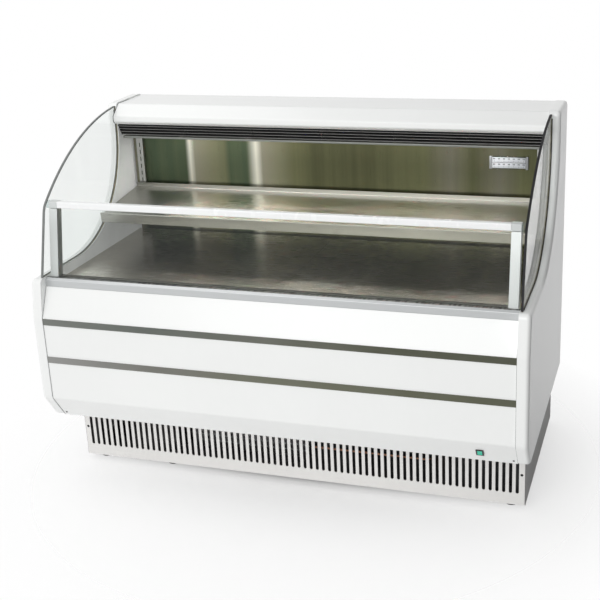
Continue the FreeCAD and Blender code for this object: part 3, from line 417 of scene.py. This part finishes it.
def clear_pane(name, tint, gloss):
    """Thin clear sheet: tinted see-through, faint smears and a reflection that grows at a slant."""
    look = Look(name, tint)
    look.nodes.remove(look.shader)
    smear = look.noise(7, (1, 1, 0.4), detail=4.0, distortion=0.6)
    tone = look.ramp(smear, [(0.3, shade(tint, 0.985)), (0.75, tint)])
    through = look.node("ShaderNodeBsdfTransparent", Color=tone)
    shine = look.node("ShaderNodeBsdfAnisotropic")
    shine.inputs["Roughness"].default_value = gloss
    look.links.new(look.spread(smear, gloss, gloss + 0.05), shine.inputs["Roughness"])
    facing = look.node("ShaderNodeLayerWeight", Blend=0.5).outputs["Facing"]
    square = look.times(facing, facing)
    share = look.spread(look.times(look.times(square, square), facing), 0.02, 1.0)
    look.mix_shaders(share, through, shine)
    return look.material


def back_wall_steel():
    """Polished back wall: olive, with painted reflections: two light upright stripes on the left, two
    faint ones on the right.
    """
    look = Look("back_wall_steel", (0.12, 0.12, 0.07), metallic=0.9, roughness=0.3)
    along = look.along("X", -0.73, 0.73)
    green = (0.07, 0.098, 0.06)
    reflection_highlight = (0.85, 0.83, 0.72)
    pale = (0.3, 0.285, 0.22)
    grey = (0.17, 0.175, 0.1)
    olive = (0.105, 0.107, 0.055)
    # These stops are painted reflections: light upright stripes and paler patches that the polished
    # wall would mirror, over olive and green.
    painted_reflection_bands = look.ramp(along, [
        (0.0, pale), (0.02, green), (0.138, shade(green, 0.85)), (0.148, reflection_highlight), (0.16, pale),
        (0.2, (0.24, 0.235, 0.15)), (0.235, grey), (0.25, green), (0.295, green), (0.317, reflection_highlight),
        (0.332, pale), (0.37, (0.22, 0.215, 0.14)), (0.41, shade(olive, 1.2)),
        (0.46, shade(olive, 0.7)), (0.6, shade(olive, 0.7)), (0.72, olive),
        (0.78, shade(pale, 0.5)), (0.83, shade(olive, 0.8)),
        (0.89, shade(pale, 0.5)), (0.94, olive), (1.0, shade(olive, 0.9))])
    streaks = look.noise(6, (6, 1, 0.12), detail=4.0)
    soft = look.ramp(streaks, [(0.3, shade(olive, 0.7)), (0.7, shade(olive, 1.8))])
    look.paint(look.blend(look.spread(streaks, 0.05, 0.3), painted_reflection_bands, soft))
    look.gloss(look.spread(look.noise(12, (60, 60, 1), detail=5.0), 0.2, 0.42))
    look.bump(look.noise(12, (60, 60, 1), detail=4.0), 0.00004)
    return look.material


def strip_steel():
    """Trim strips with a painted reflection: grey at the left end and darker olive to the right, the
    upper one darker.
    """
    look = Look("strip_steel", (0.3, 0.3, 0.26), metallic=0.9, roughness=0.35)
    along = look.along("X", -0.73, 0.73)
    # The two ramps along X are a painted reflection of the surroundings, one ramp for each strip.
    lower = look.ramp(along, [(0.0, (0.3, 0.3, 0.29)), (0.25, (0.18, 0.18, 0.16)),
                              (0.5, (0.16, 0.165, 0.12)), (0.75, (0.12, 0.125, 0.08)),
                              (1.0, (0.1, 0.105, 0.065))])
    upper = look.ramp(along, [(0.0, (0.19, 0.2, 0.185)), (0.25, (0.115, 0.13, 0.115)),
                              (0.5, (0.14, 0.145, 0.12)), (0.75, (0.08, 0.085, 0.055)),
                              (1.0, (0.07, 0.075, 0.045))])
    lines = look.noise(14, (1, 60, 90), detail=5.0, roughness=0.7)
    cloud = look.noise(5, detail=3.0)
    tone = look.blend(look.along("Z", 0.5, 0.51), lower, upper)
    look.paint(look.blend(look.spread(look.sum(lines, cloud, 0.6), 0.0, 0.18, 0.5, 1.1), tone,
                          (0.42, 0.42, 0.4)))
    look.gloss(look.spread(lines, 0.28, 0.46))
    look.bump(lines, 0.00006)
    return look.material


def ledge_steel():
    """Satin ledge cap with a fine dotted dark strip along its flat top and glazing channel: painted
    shade of perforations, with no holes in the mesh.
    """
    steel = (0.62, 0.635, 0.64)
    look = Look("ledge_steel", steel, metallic=0.7, roughness=0.4, Anisotropic=0.45)
    lines = look.noise(14, (1, 60, 60), detail=6.0, roughness=0.7)
    tone = look.ramp(lines, [(0.3, shade(steel, 0.94)), (0.7, steel)])
    # The dark dots are painted shade, standing in for the shade inside the return grille's
    # perforations.
    painted_hole_shade = look.ramp(look.noise(150, (1, 0.02, 0.02), detail=0.0),
                     [(0.42, (0.02, 0.02, 0.02)), (0.58, (0.22, 0.22, 0.21))])
    look.paint(look.blend(look.along("Y", -0.3465, -0.3455), tone, painted_hole_shade))
    look.gloss(look.spread(lines, 0.32, 0.48))
    look.bump(lines, 0.00006)
    return look.material


def rocker_green():
    """Lit green plastic of the rocker switch."""
    look = Look("rocker_green", (0.0, 0.3, 0.19), roughness=0.25, Coat_Weight=0.6,
                Emission_Color=(0.0, 0.6, 0.38, 1), Emission_Strength=0.35)
    cloud = look.noise(260, detail=2.0)
    look.paint(look.ramp(cloud, [(0.3, (0.0, 0.2, 0.12)), (0.7, (0.02, 0.4, 0.27))]))
    look.gloss(look.spread(cloud, 0.18, 0.34))
    look.bump(look.noise(900, detail=1.0), 0.00003)
    return look.material


def lamp_diffuser():
    """Ribbed white diffuser that glows."""
    look = Look("lamp_diffuser", (0.86, 0.87, 0.86), roughness=0.4, Subsurface_Weight=0.3,
                Emission_Color=(1.0, 0.98, 0.94, 1), Emission_Strength=LAMP_GLOW)
    ribs = look.noise(40, (0.1, 20, 1), detail=2.0)
    look.paint(look.ramp(ribs, [(0.3, (0.78, 0.79, 0.78)), (0.7, (0.9, 0.91, 0.9))]))
    look.gloss(look.spread(ribs, 0.32, 0.48))
    look.bump(ribs, 0.0001)
    return look.material


def pale_floor():
    """Near-white floor that fades out into the white backdrop."""
    look = Look("pale_floor", (0.93, 0.93, 0.93), roughness=0.6, Emission_Color=(1, 1, 1, 1),
                Emission_Strength=FLOOR_GLOW)
    slow = look.noise(0.8, detail=2.0)
    look.paint(look.ramp(slow, [(0.3, (0.92, 0.92, 0.92)), (0.7, (0.94, 0.94, 0.94))]))
    radius = look.node("ShaderNodeVectorMath", Vector=look.coords)
    radius.operation = "LENGTH"
    fade = look.spread(radius.outputs["Value"], 0, 1, *FLOOR_FADE)
    look.mix_shaders(fade, look.shader, look.node("ShaderNodeBsdfTransparent"))
    return look.material


# ---- mesh helpers -----------------------------------------------------------
def new_object(name, bm, material, angle=None):
    """An object from a bmesh: smooth across edges up to angle in degrees, or flat without one."""
    mesh = bpy.data.meshes.new(name)
    bm.to_mesh(mesh)
    bm.free()
    mesh.materials.append(material)
    if angle is not None:
        mesh.polygons.foreach_set("use_smooth", [True] * len(mesh.polygons))
        mesh.set_sharp_from_angle(angle=math.radians(angle))
    thing = bpy.data.objects.new(name, mesh)
    bpy.context.scene.collection.objects.link(thing)
    return thing


def piece(name, bm, material, body, replaces=(), angle=32.0):
    """A visible piece that rides on a CAD body and hides the CAD nodes it replaces."""
    bmesh.ops.recalc_face_normals(bm, faces=bm.faces)
    thing = new_object(name, bm, material, angle=angle)
    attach(thing, body)
    if replaces:
        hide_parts(*replaces)
    return thing


def rounded(corners, steps):
    """Points of a closed (y, z, radius) outline in millimetres, each corner an arc."""
    points = []
    count = len(corners)
    for i, (y, z, radius) in enumerate(corners):
        here = Vector((y, z))
        back = (Vector(corners[i - 1][:2]) - here).normalized()
        ahead = (Vector(corners[(i + 1) % count][:2]) - here).normalized()
        if radius <= 0:
            points.append(here)
            continue
        half = back.angle(ahead) / 2
        reach = radius / math.tan(half)
        centre = here + (back + ahead).normalized() * (radius / math.sin(half))
        start = here + back * reach - centre
        end = here + ahead * reach - centre
        for k in range(steps + 1):
            turn = start.lerp(end, k / steps).normalized() * radius
            points.append(centre + turn)
    return points


def extrude_x(bm, points, x0, x1):
    """Prism along X from a closed (y, z) outline, all in millimetres."""
    rings = []
    for x in (x0, x1):
        rings.append([bm.verts.new((x * MM, p[0] * MM, p[1] * MM)) for p in points])
    count = len(points)
    for i in range(count):
        j = (i + 1) % count
        bm.faces.new((rings[0][i], rings[0][j], rings[1][j], rings[1][i]))
    bm.faces.new(rings[0])
    bm.faces.new(list(reversed(rings[1])))


def lathe(bm, profile, place, axis, segments):
    """Turned shape: profile is (radius, height) in millimetres along axis from place."""
    along = Vector(axis).normalized()
    side = along.orthogonal().normalized()
    other = along.cross(side)
    rings = []
    for radius, height in profile:
        ring = []
        for k in range(segments):
            turn = 2 * math.pi * k / segments
            out = side * math.cos(turn) + other * math.sin(turn)
            spot = Vector(place) + along * height + out * radius
            ring.append(bm.verts.new(spot * MM))
        rings.append(ring)
    for low, high in zip(rings, rings[1:]):
        for k in range(segments):
            m = (k + 1) % segments
            bm.faces.new((low[k], low[m], high[m], high[k]))
    bm.faces.new(list(reversed(rings[0])))
    bm.faces.new(rings[-1])


def rounded_block(bm, low, high, radius, steps=3):
    """Box between two corners in millimetres with all its edges rounded."""
    size = Vector(high) - Vector(low)
    made = bmesh.ops.create_cube(bm, size=1.0)["verts"]
    for v in made:
        v.co = Vector(low) + Vector((v.co[i] + 0.5) * size[i] for i in range(3))
        v.co *= MM
    edges = {e for v in made for e in v.link_edges}
    bmesh.ops.bevel(bm, geom=list(edges), offset=radius * MM, segments=steps, affect="EDGES",
                    profile=0.5, clamp_overlap=True)


# ---- front: joints, rail caps, screws -------------------------------------------
JOINT_X = 731.75                      # middle of the joints between front and end panels
FRONT_BEAD = (1.3, 0.75)              # half width and rise of the sealant
HOOD_BEAD = (1.6, 0.8)
CAP_X = (724.1, 735.3)                # from a rail end block to the end glass
KICK_SCREW = (726.5, -218.5, 122)
PANEL_SCREW_X = 720
PANEL_SCREW_DROP = 32                 # down the chamfer from its middle
CHAMFER_MIDDLE = (-365.8, 263.28)     # (y, z)
CHAMFER_RUN = (60, 86)                # how far it goes in and down
ARC_STEPS = 6


def front_line():
    """Outer face of the front panel from the bottom flange to the ledge, (y, z)."""
    corners = [(-337, 222, 6), (-397, 308, 14), (-397, 577, 8), (-355, 669, 0.5)]
    # The two ends at y -300 only steer the outer arcs, so they are cut off again.
    arcs = rounded([(-300, 222, 0)] + corners + [(-300, 669, 0)], ARC_STEPS)[1:-1]
    return [Vector((-330, 222))] + arcs


def hood_line():
    """Outer face of the hood from its rolled lip up to the flat top, (y, z)."""
    corners = [(176, 1077, 7), (178, 1096, 8), (222, 1131, 9)]
    return rounded([(189, 1067, 0)] + corners + [(300, 1131, 0)], ARC_STEPS)


def seal_bead(bm, line, x, half_width, rise):
    """Low rounded bead along a (y, z) line, raised to the left of its direction."""
    section = ((-1.0, -0.4), (-0.6, 0.7), (0.0, 1.0), (0.6, 0.7), (1.0, -0.4))
    rows = []
    for i, point in enumerate(line):
        way = (line[min(i + 1, len(line) - 1)] - line[max(i - 1, 0)]).normalized()
        out = Vector((-way.y, way.x))
        row = []
        for across, lift in section:
            spot = point + out * lift * rise
            row.append(bm.verts.new(((x + across * half_width) * MM, spot.x * MM, spot.y * MM)))
        rows.append(row)
    last = len(section) - 1
    for low, high in zip(rows, rows[1:]):
        for k in range(last):
            bm.faces.new((low[k], low[k + 1], high[k + 1], high[k]))
        bm.faces.new((low[last], low[0], high[0], high[last]))
    bm.faces.new(rows[0])
    bm.faces.new(list(reversed(rows[-1])))


def joint_seals():
    """Sealant in the joints beside the front panel and the hood, pale in two of them."""
    dark = bmesh.new()
    pale = bmesh.new()
    seal_bead(dark, front_line(), JOINT_X, *FRONT_BEAD)
    seal_bead(dark, hood_line(), -JOINT_X, *HOOD_BEAD)
    seal_bead(pale, front_line(), -JOINT_X, *FRONT_BEAD)
    seal_bead(pale, hood_line(), JOINT_X, *HOOD_BEAD)
    piece("joint_seals_dark", dark, moulded("sealant_dark", (0.14, 0.15, 0.15), 0.5),
          "case")
    piece("joint_seals_pale", pale, moulded("sealant_pale", (0.4, 0.41, 0.41), 0.5),
          "case")


def rail_caps():
    """Clear bumpers between the rail's end blocks and the end glass."""
    bm = bmesh.new()
    low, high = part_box("rail_brackets")
    inner, outer = CAP_X
    for x0, x1 in ((-outer, -inner), (inner, outer)):
        rounded_block(bm, (x0, low.y / MM + 2, low.z / MM - 1),
                      (x1, high.y / MM - 3, high.z / MM - 0.5), 2.2)
    piece("rail_caps", bm, clear_pane("cap_plastic", (0.86, 0.9, 0.9), 0.08), "case")


def recess_arm(bm, tip, way, arm, radius):
    """One arm of a cross recess: a thin dark bar along arm, sunk into a screw head at tip; the black
    bar is painted shade for the recess.
    """
    other = way.cross(arm)
    quad = [tip + arm * a * radius * 0.55 + other * b * radius * 0.13 + way * 0.12
            for a, b in ((-1, -1), (1, -1), (1, 1), (-1, 1))]
    top = [bm.verts.new(q * MM) for q in quad]
    low = [bm.verts.new((q - way * 0.5) * MM) for q in quad]
    bm.faces.new(top)
    bm.faces.new(list(reversed(low)))
    for k in range(4):
        m = (k + 1) % 4
        bm.faces.new((top[k], low[k], low[m], top[m]))


def screw_heads():
    """Pan heads on the kick grille and on the front panel's chamfer, each cross recess drawn as black
    bars of painted shade.
    """
    angle = math.atan2(*CHAMFER_RUN)
    outward = Vector((0, -math.cos(angle), -math.sin(angle)))
    down = Vector((0, math.sin(angle), -math.cos(angle)))
    on_chamfer = Vector((0, *CHAMFER_MIDDLE)) + down * PANEL_SCREW_DROP + outward * 0.3
    kick_x, kick_y, kick_z = KICK_SCREW
    bm = bmesh.new()
    cross = bmesh.new()
    dome = [(0.96, 0.0), (1.0, 0.12), (0.97, 0.34), (0.8, 0.62), (0.5, 0.8), (0.2, 0.86)]
    for side in (-1, 1):
        kick = Vector((side * kick_x, kick_y, kick_z))
        panel = on_chamfer + Vector((side * PANEL_SCREW_X, 0, 0))
        for place, way, radius, height in ((kick, Vector((0, -1, 0)), 4.6, 2.4),
                                           (panel, outward, 3.1, 1.8)):
            lathe(bm, [(r * radius, h * height) for r, h in dome], place, way, 24)
            tip = place + way * height * 0.8
            for arm in (way.orthogonal().normalized(), way.cross(way.orthogonal()).normalized()):
                recess_arm(cross, tip, way, arm, radius)
    piece("screw_heads", bm, cast_metal("screw_steel", (0.05, 0.05, 0.052), 0.5), "case",
          ["panel_screws"])
    # Black bars: painted shade inside the cross recesses.
    piece("screw_recesses", cross, rubber("painted_recess_shade", (0.004, 0.004, 0.004)), "case")


# ---- grille, louvre, thermometer ------------------------------------------------
GRILLE_X = 696.0
GRILLE_PITCH = 6.0
GRILLE_HOLE = 2.4          # radius
GRILLE_ROWS = 8            # down the slope
GRILLE_LIP = 17.4          # the plain edge below the slope
GRILLE_THICKNESS = 1.2
LOUVRE_BLADES = 4
LOUVRE_FIRST = (196, 1063)
LOUVRE_STEP = (7, -11)
LOUVRE_X = 726.5
NOSING_X = 727
GRILLE_BENDS = [Vector(p) for p in ((-316.5, 686), (-314.7, 697.3), (-270, 666), (-270, 648.4))]


def grille_line(s):
    """Point (y, z) at distance s along the return grille's bent sheet, in millimetres."""
    for start, end in zip(GRILLE_BENDS, GRILLE_BENDS[1:]):
        length = (end - start).length
        if s <= length + 1e-6:
            return start.lerp(end, s / length)
        s -= length
    return GRILLE_BENDS[-1]


def perforated_grille():
    """Return-air grille: staggered round holes in the riser and the slope of a bent sheet."""
    riser = (GRILLE_BENDS[1] - GRILLE_BENDS[0]).length
    slope = (GRILLE_BENDS[2] - GRILLE_BENDS[1]).length
    edges = [0.0, riser / 2, riser]
    edges += [riser + slope * (k + 1) / GRILLE_ROWS for k in range(GRILLE_ROWS)]
    columns = int(2 * GRILLE_X / GRILLE_PITCH)
    half = GRILLE_PITCH / 2
    square = [(1, 0), (1, 1), (0, 1), (-1, 1), (-1, 0), (-1, -1), (0, -1), (1, -1)]
    sides = len(square)
    bm = bmesh.new()

    def vertex(x, s):
        y, z = grille_line(s)
        return bm.verts.new((x * MM, y * MM, z * MM))

    def sheet(x0, x1, s0, s1):
        bm.faces.new([vertex(x0, s0), vertex(x1, s0), vertex(x1, s1), vertex(x0, s1)])

    for index, (s0, s1) in enumerate(zip(edges, edges[1:])):
        offset = half if index % 2 else 0.0
        middle = (s0 + s1) / 2
        if offset:
            sheet(-GRILLE_X, -GRILLE_X + offset, s0, s1)
            sheet(GRILLE_X - offset, GRILLE_X, s0, s1)
        for i in range(columns - index % 2):
            x = -GRILLE_X + offset + (i + 0.5) * GRILLE_PITCH
            outer = [vertex(x + a * half, middle + b * (s1 - s0) / 2) for a, b in square]
            inner = []
            for k in range(sides):
                turn = 2 * math.pi * k / sides
                across = GRILLE_HOLE * math.cos(turn)
                inner.append(vertex(x + across, middle + GRILLE_HOLE * math.sin(turn)))
            for k in range(sides):
                m = (k + 1) % sides
                bm.faces.new((outer[k], outer[m], inner[m], inner[k]))
    sheet(-GRILLE_X, GRILLE_X, riser + slope, riser + slope + GRILLE_LIP)
    bmesh.ops.remove_doubles(bm, verts=bm.verts, dist=0.00002)
    thing = piece("perforated_grille", bm, brushed("grille_steel", (0.34, 0.33, 0.3), 0.3),
                  "return_grille", ["return_grille"])
    thick = thing.modifiers.new("thickness", "SOLIDIFY")
    thick.thickness = GRILLE_THICKNESS * MM
    thick.offset = -1.0


def louvre_edges():
    """Thin grey edges along the black louvre blades."""
    bm = bmesh.new()
    for i in range(LOUVRE_BLADES):
        y = LOUVRE_FIRST[0] + i * LOUVRE_STEP[0]
        z = LOUVRE_FIRST[1] + i * LOUVRE_STEP[1]
        points = rounded([(y - 0.6, z - 5.0, 0.4), (y + 1.5, z - 5.0, 0.4), (y + 1.5, z - 3.4, 0.4),
                          (y - 0.6, z - 3.4, 0.4)], 3)
        extrude_x(bm, points, -LOUVRE_X, LOUVRE_X)
    piece("louvre_edges", bm, brushed("louvre_edge_grey", (0.3, 0.3, 0.29), 0.4, metallic=0.8),
          "case")


def duct_nosing():
    """Pale aluminium edge along the discharge duct, just under the louvre."""
    bm = bmesh.new()
    points = rounded([(227, 1010.5, 1), (230, 1010.5, 1), (230, 1017.5, 0.8), (227, 1017.5, 0.8)], 3)
    extrude_x(bm, points, -NOSING_X, NOSING_X)
    piece("duct_nosing", bm, brushed("nosing_aluminium", (0.3, 0.31, 0.29), 0.4),
          "case")


def scale_marks(bm, x0, x1, y, z, height):
    """Ticks up from z along a scale, and pairs of short bars above them instead of numbers."""
    spans = 30
    groups = 6
    for k in range(spans + 1):
        long_tick = k % 5 == 0
        tall = 4.6 if long_tick else 2.4
        half_width = 0.45 if long_tick else 0.28
        x = x0 + (x1 - x0) * k / spans
        rounded_block(bm, (x - half_width, y - 0.25, z + 2.4),
                      (x + half_width, y + 0.2, z + 2.4 + tall), 0.05, 1)
    for k in range(groups + 1):
        x = x0 + (x1 - x0) * k / groups
        for dx in (-1.9, 1.9):
            rounded_block(bm, (x + dx - 1.2, y - 0.25, z + height - 7.6),
                          (x + dx + 1.2, y + 0.2, z + height - 3.4), 0.4, 2)


def thermometer():
    """Strip thermometer: a white card with two scales in a clear holder with grey clips."""
    low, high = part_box("strip_thermometer")
    x0, y0, z0 = (c / MM for c in low)
    x1, y1, z1 = (c / MM for c in high)
    plate_y = y1 - 2.2
    clip = 8
    lip = 3
    holder = bmesh.new()
    rounded_block(holder, (x0, plate_y, z0), (x1, y1, z1), 0.8)
    rounded_block(holder, (x0 + clip, y0 + 0.6, z0), (x1 - clip, y0 + 2.0, z0 + lip), 0.5)
    rounded_block(holder, (x0 + clip, y0 + 0.6, z1 - lip), (x1 - clip, y0 + 2.0, z1), 0.5)
    clips = bmesh.new()
    for x in (x0, x1 - clip):
        rounded_block(clips, (x, y0, z0), (x + clip, plate_y, z1), 1.6)
    card = bmesh.new()
    marks = bmesh.new()
    card_y = y0 + 3.0
    height = (z1 - z0 - 2 * lip) / 2
    for z in (z0 + lip, z0 + lip + height):
        rounded_block(card, (x0 + 9, card_y, z + 0.7), (x1 - 9, card_y + 1.4, z + height - 0.7), 0.3)
        scale_marks(marks, x0 + 15, x1 - 15, card_y, z, height)
    piece("thermometer_holder", holder, clear_pane("holder_plastic", (0.93, 0.95, 0.95), 0.05),
          "case", ["strip_thermometer"])
    piece("thermometer_clips", clips, moulded("clip_grey", (0.25, 0.26, 0.27), 0.35),
          "case")
    piece("thermometer_card", card, moulded("card_white", (0.5, 0.52, 0.55), 0.5),
          "case")
    piece("thermometer_marks", marks, moulded("mark_ink", (0.03, 0.03, 0.035), 0.6),
          "case")


# ---- feet, rear ------------------------------------------------------------------
THREAD_START = 12.0
THREAD_POINTS = 29         # root and crest in turn
THREAD_STEP = 1.5          # half the pitch
FIXING_X = 715             # outermost column on the rear
RIVET_Y = 398
RIVET_ROWS = (238, 1108)
RIVET_STEP = 145           # up the two outer columns
VENT_SCREW_Y = 397
VENT_SCREW_ROWS = (36, 208)


def feet():
    """Levelling feet: dished pad, hex and threaded stem."""
    pad = rubber("foot_rubber")
    zinc = cast_metal("foot_zinc", (0.5, 0.5, 0.5), 0.35)
    profile = [(20.4, 0.2), (21.0, 1.0), (21.0, 2.4), (20.2, 3.6), (18.6, 4.8), (14.0, 6.0), (9.0, 6.6),
               (8.4, 7.0)]
    for name in frame["bodies"]:
        if not name.startswith("foot_"):
            continue
        low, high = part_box(name)
        x = (low.x + high.x) / 2 / MM
        y = (low.y + high.y) / 2 / MM
        bm = bmesh.new()
        lathe(bm, profile, (x, y, 0), (0, 0, 1), 48)
        piece(name + "_pad", bm, pad, name, [name])
        bm = bmesh.new()
        lathe(bm, [(8.8, 6.8), (9.0, 7.2), (9.0, 11.4), (8.6, 12.0)], (x, y, 0), (0, 0, 1), 6)
        thread = []
        for k in range(THREAD_POINTS):
            thread.append((5.9 if k % 2 else 5.3, THREAD_START + k * THREAD_STEP))
        lathe(bm, thread, (x, y, 0), (0, 0, 1), 20)
        piece(name + "_stem", bm, zinc, name, angle=20)


def spaced(count):
    """Evenly spaced x places across the rear, from one outer column to the other."""
    return [-FIXING_X + 2 * FIXING_X * i / (count - 1) for i in range(count)]


def rear_fixings():
    """Dome rivets round the rear panel and hex-washer screws round the lower vent panel."""
    bm = bmesh.new()
    dome = [(4.2, 0.0), (4.2, 0.25), (3.9, 0.8), (3.0, 1.35), (1.6, 1.62), (0.5, 1.7)]
    back = (0, 1, 0)
    for x in spaced(10):
        for z in RIVET_ROWS:
            lathe(bm, dome, (x, RIVET_Y, z), back, 20)
    for x in (-FIXING_X, FIXING_X):
        for k in range(1, 6):
            lathe(bm, dome, (x, RIVET_Y, RIVET_ROWS[0] + k * RIVET_STEP), back, 20)
    for x in spaced(7):
        for z in VENT_SCREW_ROWS:
            lathe(bm, [(6.2, 0.0), (6.2, 0.5), (5.8, 0.7)], (x, VENT_SCREW_Y, z), back, 24)
            lathe(bm, [(4.2, 0.7), (4.2, 2.4), (3.6, 2.8)], (x, VENT_SCREW_Y, z), back, 6)
    piece("rear_fixings", bm, cast_metal("zinc_fixing", (0.42, 0.43, 0.44), 0.36), "case",
          angle=25)


# ---- CAD nodes that are shown as they are ---------------------------------------
def dress_nodes():
    """Gives every CAD node that is shown its finished material."""
    looks = {
        painted("white_powder_coat", (0.88, 0.89, 0.88), 0.3, 0.03, coat=0.2):
            ["front_panel", "end_panel_left", "end_panel_right", "canopy_hood"],
        brushed("brushed_stainless", (0.62, 0.61, 0.58), 0.3):
            ["condensate_pan", "inner_tub", "deck_supports", "shelf_brackets"],
        brushed("brushed_upright", (0.6, 0.6, 0.58), 0.32, grain=(60, 60, 1)): ["shelf_standards"],
        brushed("post_aluminium", (0.6, 0.63, 0.615), 0.36, grain=(60, 60, 1), metallic=0.5):
            ["glass_posts"],
        galvanised_steel():
            ["rear_vent_panel", "condenser_shroud", "control_box", "bottom_panel", "rear_panel",
             "fan_plenum"],
        brushed("fin_aluminium", (0.72, 0.73, 0.74), 0.35, grain=(60, 60, 1)):
            ["condenser_coil", "evaporator_coil"],
        clear_pane("clear_glass", (0.978, 0.989, 0.984), 0.01):
            ["end_glass_left", "end_glass_right", "front_glass"],
        painted("motor_enamel", (0.13, 0.14, 0.15), 0.4, 0.3):
            ["condenser_motor", "evaporator_motors"],
        cast_metal("blade_aluminium", (0.66, 0.67, 0.68), 0.34):
            ["condenser_fan", "evaporator_fan_left", "evaporator_fan_right"],
        painted("frame_black", (0.035, 0.035, 0.037), 0.5, 0.2): ["base_frame", "base_floor"],
        painted("rail_white", (0.9, 0.91, 0.91), 0.24, 0.03, coat=0.3): ["glass_rail"],
        brushed("kick_satin", (0.84, 0.83, 0.81), 0.42, metallic=0.55, contrast=0.08):
            ["kick_grille"],
        # The skirts get a dark grey: painted shade, the way their steel looks in shadow.
        brushed("skirt_steel", (0.27, 0.265, 0.26), 0.42, contrast=0.2, metallic=0.8):
            ["base_skirts"],
        painted("compressor_black", (0.014, 0.014, 0.015), 0.22, 0.2, coat=0.5): ["compressor"],
        rubber("mount_rubber"): ["compressor_mounts"],
        glazing_seal(): ["glass_gaskets"],
        copper_tube(): ["refrigerant_pipes"],
        brushed("shelf_steel", (0.44, 0.435, 0.4), 0.3): ["upper_shelf"],
        brushed("deck_steel", (0.5, 0.475, 0.42), 0.24, contrast=0.2):
            ["deck_pan_left", "deck_pan_right"],
        back_wall_steel(): ["back_duct_panel"],
        strip_steel(): ["trim_strips"],
        moulded("black_plastic", (0.011, 0.011, 0.012), 0.42): ["cord_gland", "switch_housing"],
        rubber("louvre_black", (0.003, 0.003, 0.003), 0.004): ["air_louvre"],
        rocker_green(): ["switch_rocker"],
        foam_core(): ["insulation"],
        # The end liners give off faint light: painted light that brightens their inner faces.
        moulded("liner_white", (0.88, 0.9, 0.89), 0.35, 0.0001, painted_glow=0.14): ["end_liners"],
        ledge_steel(): ["ledge_cap"],
        moulded("bracket_grey", (0.66, 0.69, 0.68), 0.35): ["rail_brackets"],
        brushed("lamp_channel_aluminium", (0.7, 0.71, 0.72), 0.3): ["lamp_channel"],
        lamp_diffuser(): ["lamp_lens"],
        moulded("drain_plastic", (0.8, 0.8, 0.78), 0.4): ["drain_pipe"],
    }
    for material, names in looks.items():
        for name in names:
            node = frame["nodes"][name]
            node.data.materials.clear()
            node.data.materials.append(material)


make_camera()
make_stage()
dress_nodes()
joint_seals()
rail_caps()
screw_heads()
perforated_grille()
louvre_edges()
duct_nosing()
thermometer()
feet()
rear_fixings()
